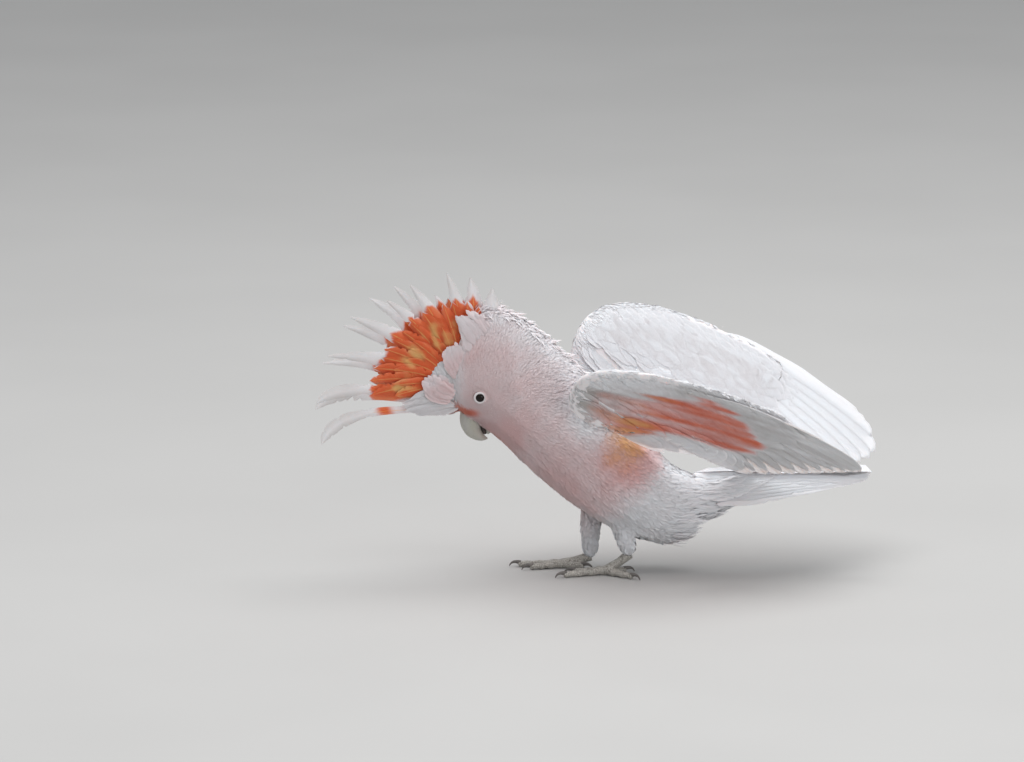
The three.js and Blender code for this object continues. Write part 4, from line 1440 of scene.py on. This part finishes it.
# Pale feathers over the crest's root: root, bend and tip as (x, z), how far off the middle, and width.
FRONTAL_PLUMES = (
    ((-122, 172), (-140, 178), (-160, 170), 10, 13), ((-128, 169), (-147, 173), (-168, 163), 9, 12),
    ((-130, 165), (-150, 167), (-176, 157), 8, 12), ((-130, 161), (-150, 161), (-172, 154), 8, 11),
    ((-130, 158), (-148, 156), (-166, 151), 7, 10), ((-127, 158), (-138, 154), (-152, 151), 7, 9),
)
LOBES = (
    ((-130, 170), (-143, 173), (-151, 186), 11.5, 17), ((-132, 166), (-149, 170), (-157, 182), 11, 16),
    ((-122, 186), (-129, 200), (-137, 215), 12, 17), ((-119, 190), (-122, 205), (-128, 217), 13, 14),
)
HOOD_PLUMES = (
    ((-104, 206), (-114, 226), (-127, 244), 13, 15), ((-101, 215), (-111, 232), (-124, 246), 12.6, 15),
    ((-107, 196), (-114, 212), (-123, 229), 14, 13), ((-98, 224), (-107, 238), (-118, 248), 12, 14),
)


def pale_marks(blushing, grey):
    """White feathers, more or less pink, and more or less in shade."""

    def marks(points, along, across):
        plain = np.zeros_like(along)
        return {
            "blush": 0.1 + blushing * (1 - 0.2 * np.abs(across)) * (1 - 0.55 * ease(0.5, 1.0, along)),
            "ember": plain,
            "amber": plain,
            "shade": grey + 0.1 * np.abs(across) ** 3,
        }

    return marks


SPRAY = 9  # fine feathers in each plume
# At the root, the bend and the tip: how far off the middle a plume stays, and how far its feathers spread.
SPRAY_KEEP, SPRAY_SPREAD = (1.0, 1.05, 0.75), (0.34, 0.4, 0.32)


def side_plumes(batch, rng, plumes, profile, blushing, grey, blunt):
    """Sprays of soft feathers that lie flat on both sides of the head."""
    for hand in HANDS.values():
        ends = np.zeros((len(plumes), SPRAY, 3, 3))
        for k, (root, bend, tip, off, wide) in enumerate(plumes):
            run = unit(np.array(tip, float) - root)
            aside = np.array([-run[1], run[0]])
            place = np.linspace(-1, 1, SPRAY) + rng.normal(0, 0.1, SPRAY)
            rng.shuffle(place)
            for point, (at, keep, spread) in enumerate(zip((root, bend, tip), SPRAY_KEEP, SPRAY_SPREAD)):
                back = rng.normal(0, 0.3 + 0.5 * point, SPRAY) - place**2 * wide * blunt * point / 2
                plan = at + aside * (place * wide * spread)[:, None] + run * back[:, None]
                ends[k, :, point, 0] = plan[:, 0]
                ends[k, :, point, 1] = hand * (off * keep - 0.5 * np.abs(place) + 0.12 * np.arange(SPRAY))
                ends[k, :, point, 2] = plan[:, 1]
        ends = ends.reshape(-1, 3, 3)
        count = len(ends)
        ups = np.broadcast_to(np.array([0.0, hand, 0.0]), (count, 2, 3))
        wide = np.repeat([plume[4] for plume in plumes], SPRAY)[:, None] * rng.uniform(0.42, 0.56, (count, 1))
        outline = np.interp(np.linspace(0, 1, 16), *profile)
        half = ragged(rng, outline * wide / 2, count, 0.5, 4)
        blades(batch, ends, ups, half, pale_marks(blushing, grey), COLUMNS_FINE, **PLUME_BLADE)


def make_crest(palette, sizes):
    """The fanned crest: long feathers, with two shorter layers over their roots."""
    rng = np.random.default_rng(51)
    finish = plumage("plumage_crest", palette, True)
    batch = Batch()
    crest_blades(batch, rng, CREST_LONG, mm(sizes.crest_width), 0.07, 1.2, LONG_PROFILE, CREST_ARCS)
    bearings = 184 - 4.2 * np.arange(28) + rng.normal(0, 1, 28)
    reach = np.interp(bearings[::-1], *CREST_LIMIT)[::-1] - 3 + rng.normal(0, 2, 28)
    between = list(zip(bearings, reach))
    crest_blades(batch, rng, between, 15, 0.05, 2.2, SHORT_PROFILE)
    low = [(190 - 6 * i + rng.normal(0, 2), 56 + rng.normal(0, 4)) for i in range(20)]
    crest_blades(batch, rng, low, 13, 0.05, 3.6, SHORT_PROFILE)
    batch.piece("crest_feathers", finish, "crest_feathers", nodes=("crest",))
    batch = Batch()
    side_plumes(batch, rng, HOOD_PLUMES, SHORT_PROFILE, 0.4, 0.04, 0.9)
    side_plumes(batch, rng, LOBES, LOBE_PROFILE, 0.65, 0.06, 0.2)
    side_plumes(batch, rng, FRONTAL_PLUMES, SHORT_PROFILE, 0.08, 0.2, 0.35)
    batch.piece("crest_plumes", finish, "body_feathers")


# ---------------------------------------------------------------- bill, eyes and feet

# Rings of the bill and of the mouth between its halves: (x, z, depth, width) along their middle lines.
UPPER_BILL = np.array([
    [-109, 160, 9, 6], [-112, 151, 11, 8], [-114.5, 142, 10, 7.6], [-113.5, 134, 8, 6.4],
    [-109.5, 128.5, 5.6, 4.8], [-105, 125.5, 3.2, 2.9], [-100.5, 124.4, 0.6, 0.6],
])
LOWER_BILL = np.array([
    [-92, 146, 5, 5.5], [-95.5, 139, 4.8, 5.6], [-98.5, 133.6, 3.6, 5], [-100.5, 129.8, 1.4, 3],
])
MOUTH = np.array([
    [-101.5, 145, 3.6, 4.6], [-103.4, 139, 4.0, 4.2], [-103.6, 133, 3.0, 3.2], [-102.4, 129, 1.2, 1.6],
])


def curve_through(values, count):
    """A smooth curve through rows of values, at evenly spaced shares."""
    padded = np.concatenate([2 * values[:1] - values[1:2], values, 2 * values[-1:] - values[-2:-1]])
    at = np.linspace(0, len(values) - 1, count)
    i = np.minimum(at.astype(int), len(values) - 2)
    t = (at - i)[:, None]
    a, b, c, d = (padded[i + k] for k in range(4))
    return 0.5 * (2 * b + (c - a) * t + (2 * a - 5 * b + 4 * c - d) * t**2 + (3 * b - a - 3 * c + d) * t**3)


def tube(name, centres, deep, wide, sides, matrix, keel=0.0):
    """A closed tube through centres in the bird's frame, with a keel of some height along it."""
    way = unit(np.gradient(centres, axis=0))
    across = unit(np.array([0, 1.0, 0]) - way * way[:, 1:2])
    over = np.cross(way, across)
    angle = np.arange(sides) * 2 * math.pi / sides
    c, s = np.cos(angle), np.sin(angle)
    ridge = 1 + keel * np.maximum(-s, 0) ** 6
    rings = centres[:, None] + across[:, None] * (wide[:, None] * c)[..., None]
    rings = rings + over[:, None] * (deep[:, None] * s * ridge)[..., None]
    count = len(centres)
    points = np.concatenate([rings.reshape(-1, 3), centres[:1], centres[-1:]])
    i, j = np.meshgrid(np.arange(count - 1), np.arange(sides), indexing="ij")
    a, b = (i * sides + j).ravel(), (i * sides + (j + 1) % sides).ravel()
    wall = np.stack([a, b, b + sides, a + sides], 1)
    j = np.arange(sides)
    after = (j + 1) % sides
    last = (count - 1) * sides
    caps = [
        np.stack([np.full(sides, count * sides), after, j], 1),
        np.stack([np.full(sides, count * sides + 1), last + j, last + after], 1),
    ]
    mesh = mesh_from(name, carry(points, matrix), [wall, *caps])
    shape = bmesh.new()
    shape.from_mesh(mesh)
    bmesh.ops.recalc_face_normals(shape, faces=shape.faces)
    shape.to_mesh(mesh)
    shape.free()
    return linked(name, mesh)


def bill_tube(name, rings, count, sides, least, keel=0.0):
    """A tube in the bird's middle plane, through a table of rings, nowhere thinner than least."""
    x, z, deep, wide = curve_through(rings, count).T
    centres = np.stack([x, np.zeros(count), z], 1)
    return tube(name, centres, np.maximum(deep, least), np.maximum(wide, least), sides, BODY, keel)


def horn(name, colours, scale):
    """Bill or claw: growth lines, darker flecks and a slight gloss."""
    finish = Finish(name, Specular_IOR_Level=0.5, Coat_Weight=0.15)
    place = finish.place()
    streak = finish.noise(finish.stretched(place, (scale, scale, scale * 0.2)), 1.0, 4.0, 0.6)
    flecks = finish.noise(place, 900.0, 3.0, 0.6)
    colour = finish.colour(colours[0]).toward(colours[1], streak.held(0.3, 0.75))
    colour = colour.toward(colours[2], flecks.held(0.52, 0.8) * 0.5)
    finish.set("Base Color", colour)
    finish.set("Roughness", 0.34 + flecks * 0.3)
    finish.bump(streak * 0.7 + flecks * 0.3, 0.3, 0.0006)
    return finish.material


def make_bill(palette, sizes):
    """Both halves of the bill, and the mouth between them, near black for its own dark skin and for painted
    shade in the gap.
    """
    finish = horn("bill_horn", (palette.bill, (0.4, 0.39, 0.33), (0.27, 0.25, 0.22)), 160.0)
    least = mm(sizes.bill_tip)
    for node, rings, count, keel in (
        ("bill_upper", UPPER_BILL, 40, 0.08), ("bill_lower", LOWER_BILL, 24, 0.0),
    ):
        finished(bill_tube(f"{node}_horn", rings, count, 36, least, keel), finish, (node,))
    # Near black: the mouth's own dark skin, and painted shade in the gap between the bill's halves.
    dark = Finish("mouth_skin", Roughness=0.5, Specular_IOR_Level=0.4)
    folds = dark.noise(dark.place(), 500.0, 3.0)
    dark.set("Base Color", dark.colour((0.03, 0.022, 0.02)).toward((0.09, 0.06, 0.055), folds.held(0.4, 0.7)))
    dark.bump(folds, 0.4, 0.0005)
    finished(bill_tube("tongue", MOUTH, 16, 20, least), dark.material)


# The ring round an eye: radius, thickness, how far out from the middle of the eye, and how flat.
EYE_RING, EYE_RING_THICK, EYE_RING_OUT, EYE_RING_FLAT = 4.55, 1.1, 2.75, 0.55


def round_piece(name):
    """The object just added by an operator: named, smooth, and with its place and size in its mesh."""
    piece = bpy.context.active_object
    piece.name = piece.data.name = name
    bpy.ops.object.transform_apply(location=True, rotation=True, scale=True)
    bpy.ops.object.shade_smooth()
    return piece


def make_eyes(palette, sizes):
    """Dark glossy eyeballs, each in a ring of bare, finely folded skin."""
    gloss = Finish("eye_gloss", Roughness=0.05, Specular_IOR_Level=0.22)
    place = gloss.place()
    mottle = gloss.noise(place, 900.0, 2.0)
    dark = gloss.colour((0.006, 0.004, 0.003))
    gloss.set("Base Color", dark.toward((0.03, 0.014, 0.008), mottle.held(0.5, 0.9)))
    ring = Finish("eye_ring_skin", Roughness=0.6, Specular_IOR_Level=0.3)
    place = ring.place()
    folds = ring.cells(place, 1500.0)
    tone = ring.noise(place, 500.0, 3.0)
    ring.set("Base Color", ring.colour(palette.ring).toward((0.5, 0.4, 0.4), tone.held(0.4, 0.8) * 0.5))
    ring.bump(folds, 0.5, 0.0003)
    for which, hand in HANDS.items():
        centre = eye_centre(which)
        bpy.ops.object.select_all(action="DESELECT")
        bpy.ops.mesh.primitive_uv_sphere_add(
            segments=48, ring_count=32, radius=mm(sizes.eyeball) * MM, location=centre
        )
        finished(round_piece(f"eyeball_{which}"), gloss.material, (f"eye_{which}",))
        out = Vector(BODY[:3, 1] / MM) * hand
        bpy.ops.object.select_all(action="DESELECT")
        bpy.ops.mesh.primitive_torus_add(
            major_segments=64, minor_segments=16,
            major_radius=EYE_RING * MM, minor_radius=EYE_RING_THICK * MM,
            location=centre + out * EYE_RING_OUT * MM,
            rotation=Vector((0, 0, 1)).rotation_difference(out).to_euler(),
        )
        bpy.context.active_object.scale = (1.0, 1.0, EYE_RING_FLAT)
        finished(round_piece(f"eye_ring_{which}"), ring.material)


# Where each sole stands, as (x, how far out), and how far the foot is turned.
LEGS = {"left": ((4, 15), 0.12), "right": ((-35, 11), -0.08)}
TOES = {
    "inner_front": (27.0, -0.2), "outer_front": (37.0, 0.2),
    "inner_back": (20.0, math.pi + 0.25), "outer_back": (30.0, math.pi - 0.75),
}
SOLE_HEIGHT, FOOT_VOXEL = 3.6, 0.75
PLATE_LENGTH, PLATE_HEIGHT = 2.6, 0.35  # of the scales across a toe
CLAW_START, CLAW_RISE, CLAW_DROP, CLAW_TIP, CLAW_BEND = 4.0, 1.2, 3.4, 0.35, 1.35


def toes_of(which):
    """The name, root, way and length of each toe of a foot."""
    (x, y), foot_turn = LEGS[which]
    hand = HANDS[which]
    sole = np.array([x, hand * y, SOLE_HEIGHT])
    for name, (length, turn) in TOES.items():
        along, aside = turned(1, 0, turn + foot_turn)
        yield name, sole, np.array([-along, hand * aside, 0]), length


def plates_of(which, local):
    """How high the scales across the toes of a foot stand at each point, from 0 to 1."""
    plates = np.zeros(len(local))
    best = np.full(len(local), np.inf)
    for _, sole, way, _ in toes_of(which):
        along = (local - sole) @ way
        off = np.linalg.norm((local - sole) - way * along[:, None], axis=1)
        closer = (off < best) & (along > 3)
        best = np.where(closer, off, best)
        plates = np.where(closer, np.abs(np.sin(along * math.pi / PLATE_LENGTH)), plates)
    return plates


def make_foot(which):
    """A foot from its solid, evened out, with scales across the tops of its toes."""
    foot = remeshed(f"foot_scaled_{which}", [f"foot_{which}"], FOOT_VOXEL, 0.0)
    mesh = foot.data
    points = vertex_array(mesh)
    floor = points[:, 2] < 0.25 * MM
    points = relaxed(points, edge_array(mesh), 6)
    normals = normal_array(mesh)
    plates = plates_of(which, carry(points, FROM_FLOOR)) - 0.5
    points = points + normals * (plates * PLATE_HEIGHT * ease(0.0, 0.6, normals[:, 2]) * MM)[:, None]
    points[:, 2] = np.where(floor, 0.0, np.maximum(points[:, 2], 0.0))
    set_vertices(mesh, points)
    return foot


def make_claw(name, start, way, length, radius):
    """A claw that arches from a toe down to the floor."""
    share = np.linspace(0, 1, 18)
    centres = start + way * (length * np.sin(share * CLAW_BEND))[:, None]
    radii = radius + (CLAW_TIP - radius) * share
    height = CLAW_START + CLAW_RISE * np.sin(share * math.pi) - CLAW_DROP * share**2
    centres[:, 2] = np.maximum(height, radii + 0.02)
    return tube(name, centres, radii, radii * 0.8, 16, FLOOR)


def make_feet(palette, sizes):
    """Scaly feet and smooth curved claws."""
    hide = Finish("foot_scales", Specular_IOR_Level=0.35)
    place = hide.place()
    plates = hide.cells(place, 620.0, "DISTANCE_TO_EDGE")
    grain = hide.noise(place, 1200.0, 3.0)
    dust = hide.noise(place, 120.0, 3.0)
    colour = hide.colour((0.13, 0.115, 0.1)).toward(palette.foot, plates.held(0.0, 0.14))
    colour = colour.toward((0.62, 0.58, 0.53), (dust - 0.45).held(0.0, 0.5) * 0.6)
    hide.set("Base Color", colour)
    hide.set("Roughness", 0.6 + grain * 0.3)
    hide.bump(plates.held(0.0, 0.2) * 0.8 + grain * 0.2, 0.6, 0.0006)
    nail = horn("claw_horn", (palette.claw, (0.16, 0.145, 0.13), (0.03, 0.028, 0.026)), 300.0)
    for which in HANDS:
        finished(make_foot(which), hide.material, (f"foot_{which}",))
        for name, sole, way, length in toes_of(which):
            start = sole + way * (length - 1)
            piece = make_claw(f"nail_{which}_{name}", start, way, mm(sizes.claw), mm(sizes.claw_radius))
            finished(piece, nail, (f"claw_{which}_{name}",))


# ---------------------------------------------------------------- stage


SKY = (0.95, 0.97, 1.0, 1)
# Lamps: name, place, side in metres, and the setting that gives its power.
LAMPS = (
    ("key", (-0.5, -0.9, 3.1), 1.8, "key"),
    ("top", (0.8, 0.6, 3.0), 2.0, "key"),
    ("fill", (1.5, -2.0, 0.7), 1.4, "fill"),
)
LAMP_AIM = Vector((0, 0, 0.12))


def make_stage(setup):
    """A plain pale floor, soft light and the camera."""
    bpy.ops.object.select_all(action="DESELECT")
    bpy.ops.mesh.primitive_grid_add(x_subdivisions=8, y_subdivisions=8, size=24.0, location=(0, 0, 0))
    floor = bpy.context.active_object
    floor.name = "floor"
    paint = Finish("floor_paint", Roughness=0.9, Specular_IOR_Level=0.2)
    grain = paint.noise(paint.place(), 3.0, 2.0)
    shade = paint.colour(setup.floor)
    paint.set("Base Color", shade.toward([0.97 * c for c in setup.floor], grain.held(0.3, 0.7)))
    floor.data.materials.append(paint.material)
    world = bpy.context.scene.world or bpy.data.worlds.new("studio")
    bpy.context.scene.world = world
    world.use_nodes = True
    sky = world.node_tree.nodes["Background"]
    sky.inputs["Color"].default_value = SKY
    sky.inputs["Strength"].default_value = setup.ambient
    for name, place, size, power in LAMPS:
        bpy.ops.object.light_add(type="AREA", location=place)
        lamp = bpy.context.active_object
        lamp.name = name
        lamp.data.size = size
        lamp.data.energy = getattr(setup, power)
        lamp.rotation_euler = (LAMP_AIM - Vector(place)).to_track_quat("-Z", "Y").to_euler()
    target = Vector(setup.target)
    tilt = math.radians(setup.elevation)
    back = Vector((0, -math.cos(tilt), math.sin(tilt)))
    bpy.ops.object.camera_add(location=target + back * setup.distance)
    camera = bpy.context.active_object
    camera.rotation_euler = (-back).to_track_quat("-Z", "Y").to_euler()
    camera.data.sensor_width = 36.0
    camera.data.lens = setup.lens
    camera.data.clip_end = 100.0
    bpy.context.scene.camera = camera
    bpy.context.scene.view_settings.view_transform = "Standard"


# ---------------------------------------------------------------- settings, operators and panel


def tint(name, description, default):
    return FloatVectorProperty(
        name=name, description=description, subtype="COLOR", size=3, min=0.0, max=1.0, default=default
    )


class CockatooPalette(bpy.types.PropertyGroup):
    white: tint("White", "Plain feathers", (0.86, 0.845, 0.865))
    grey: tint("Grey", "Shaded and worn feathers", (0.36, 0.33, 0.3))
    blush: tint("Blush", "Pink of head, neck and breast", (0.79, 0.48, 0.47))
    flame: tint("Flame", "Vermilion of crest and underwing", (0.74, 0.105, 0.03))
    amber: tint("Amber", "Yellow band of the crest", (0.8, 0.4, 0.14))
    bill: tint("Bill", "Horn of the bill", (0.42, 0.41, 0.38))
    ring: tint("Eye ring", "Bare skin round the eye", (0.72, 0.68, 0.68))
    foot: tint("Foot", "Scales of the feet", (0.5, 0.48, 0.44))
    claw: tint("Claw", "Horn of the claws", (0.1, 0.09, 0.085))


def span(name, description, default):
    """A length, with its default in millimetres."""
    return FloatProperty(
        name=name, description=description, default=default * MM, min=0.0, precision=4, unit="LENGTH"
    )


def mm(length):
    """A length setting in millimetres. Blender keeps it in single precision, so it is rounded again."""
    return round(length / MM, 3)


class CockatooSizes(bpy.types.PropertyGroup):
    coat_head: span("Head coat", "Depth of the coat on the head", 1.9)
    coat_neck: span("Neck coat", "Depth of the coat on the neck", 3.2)
    coat_trunk: span("Trunk coat", "Depth of the coat on the trunk", 3.6)
    coat_thigh: span("Thigh coat", "Depth of the coat on the thighs", 1.4)
    coat_wing: span("Wing coat", "Depth of the coat on the arms of the wings", 0.3)
    primary: span("Primary", "Width of the outer flight feathers", 22)
    secondary: span("Secondary", "Width of the inner flight feathers", 24)
    tail: span("Tail", "Length of the middle tail feathers", 139)
    tail_width: span("Tail width", "Width of the tail feathers", 17)
    crest_width: span("Crest width", "Width of the long crest feathers", 18)
    eyeball: span("Eyeball", "Radius of an eyeball", 5.0)
    eye_room: span("Eye room", "How far the coat keeps from the middle of an eye", 6.0)
    nape_tip: span("Nape tips", "Length of the raised tips of the nape", 8.5)
    bill_tip: span("Bill tip", "Least half width of the bill", 0.3)
    claw: span("Claw", "Length of a claw", 10.5)
    claw_radius: span("Claw radius", "Radius of a claw at its root", 2.1)


class CockatooStage(bpy.types.PropertyGroup):
    floor: tint("Floor", "Paint of the floor", (0.5, 0.495, 0.485))
    ambient: FloatProperty(name="Ambient", description="Strength of the sky", default=0.5, min=0.0)
    key: FloatProperty(name="Key", description="Power of the main lamp", default=49.0, unit="POWER")
    fill: FloatProperty(name="Fill", description="Power of the low side lamp", default=15.0, unit="POWER")
    lens: FloatProperty(name="Lens", description="Focal length in millimetres", default=236.25, min=1.0)
    distance: FloatProperty(name="Distance", description="From camera to bird", default=6.0, unit="LENGTH")
    elevation: FloatProperty(name="Elevation", description="Degrees that the camera looks down", default=12.0)
    target: FloatVectorProperty(
        name="Target", description="Where the camera looks", subtype="XYZ",
        default=tuple(carry(np.array(AIM), FLOOR)),
    )


def build(context, make):
    """Makes one group of pieces from the settings of the scene."""
    make(context.scene.cockatoo_palette, context.scene.cockatoo_sizes)
    return {"FINISHED"}


class COCKATOO_OT_skin(bpy.types.Operator):
    """One skin over all the flesh"""

    bl_idname = "cockatoo.skin"
    bl_label = "Skin"

    def execute(self, context):
        return build(context, make_skin)


class COCKATOO_OT_coat(bpy.types.Operator):
    """Small feathers of head, neck, trunk and thighs"""

    bl_idname = "cockatoo.coat"
    bl_label = "Coat"

    def execute(self, context):
        return build(context, make_coat)


class COCKATOO_OT_ruffles(bpy.types.Operator):
    """Raised nape tips and loose down"""

    bl_idname = "cockatoo.ruffles"
    bl_label = "Ruffles"

    def execute(self, context):
        return build(context, make_ruffles)


class COCKATOO_OT_wings(bpy.types.Operator):
    """Flight feathers and coverts"""

    bl_idname = "cockatoo.wings"
    bl_label = "Wings"

    def execute(self, context):
        return build(context, make_wings)


class COCKATOO_OT_tail(bpy.types.Operator):
    """Tail feathers and their coverts"""

    bl_idname = "cockatoo.tail"
    bl_label = "Tail"

    def execute(self, context):
        return build(context, make_tail)


class COCKATOO_OT_crest(bpy.types.Operator):
    """The fanned crest"""

    bl_idname = "cockatoo.crest"
    bl_label = "Crest"

    def execute(self, context):
        return build(context, make_crest)


class COCKATOO_OT_bill(bpy.types.Operator):
    """Both halves of the bill"""

    bl_idname = "cockatoo.bill"
    bl_label = "Bill"

    def execute(self, context):
        return build(context, make_bill)


class COCKATOO_OT_eyes(bpy.types.Operator):
    """Eyeballs and eye rings"""

    bl_idname = "cockatoo.eyes"
    bl_label = "Eyes"

    def execute(self, context):
        return build(context, make_eyes)


class COCKATOO_OT_feet(bpy.types.Operator):
    """Scaly feet and claws"""

    bl_idname = "cockatoo.feet"
    bl_label = "Feet"

    def execute(self, context):
        return build(context, make_feet)


class COCKATOO_OT_stage(bpy.types.Operator):
    """Floor, light and camera"""

    bl_idname = "cockatoo.stage"
    bl_label = "Stage"

    def execute(self, context):
        make_stage(context.scene.cockatoo_stage)
        return {"FINISHED"}


# In the order in which they run.
OPERATORS = (
    COCKATOO_OT_skin, COCKATOO_OT_coat, COCKATOO_OT_ruffles, COCKATOO_OT_wings, COCKATOO_OT_tail,
    COCKATOO_OT_crest, COCKATOO_OT_bill, COCKATOO_OT_eyes, COCKATOO_OT_feet, COCKATOO_OT_stage,
)
SETTINGS = {
    "cockatoo_palette": CockatooPalette, "cockatoo_sizes": CockatooSizes, "cockatoo_stage": CockatooStage,
}


class COCKATOO_PT_panel(bpy.types.Panel):
    """Lists the builders and their settings"""

    bl_label = "Cockatoo"
    bl_space_type = "VIEW_3D"
    bl_region_type = "UI"
    bl_category = "Cockatoo"

    def draw(self, context):
        for operator in OPERATORS:
            self.layout.operator(operator.bl_idname)
        for title in SETTINGS:
            group = getattr(context.scene, title)
            box = self.layout.box()
            for name in group.__annotations__:
                box.prop(group, name)


CLASSES = (*SETTINGS.values(), *OPERATORS, COCKATOO_PT_panel)


def register():
    for item in CLASSES:
        bpy.utils.register_class(item)
    for title, group in SETTINGS.items():
        setattr(bpy.types.Scene, title, PointerProperty(type=group))


def unregister():
    for title in SETTINGS:
        delattr(bpy.types.Scene, title)
    for item in reversed(CLASSES):
        bpy.utils.unregister_class(item)


def main():
    register()
    for operator in OPERATORS:
        getattr(bpy.ops.cockatoo, operator.bl_idname.split(".")[1])()


if __name__ == "__main__":
    main()
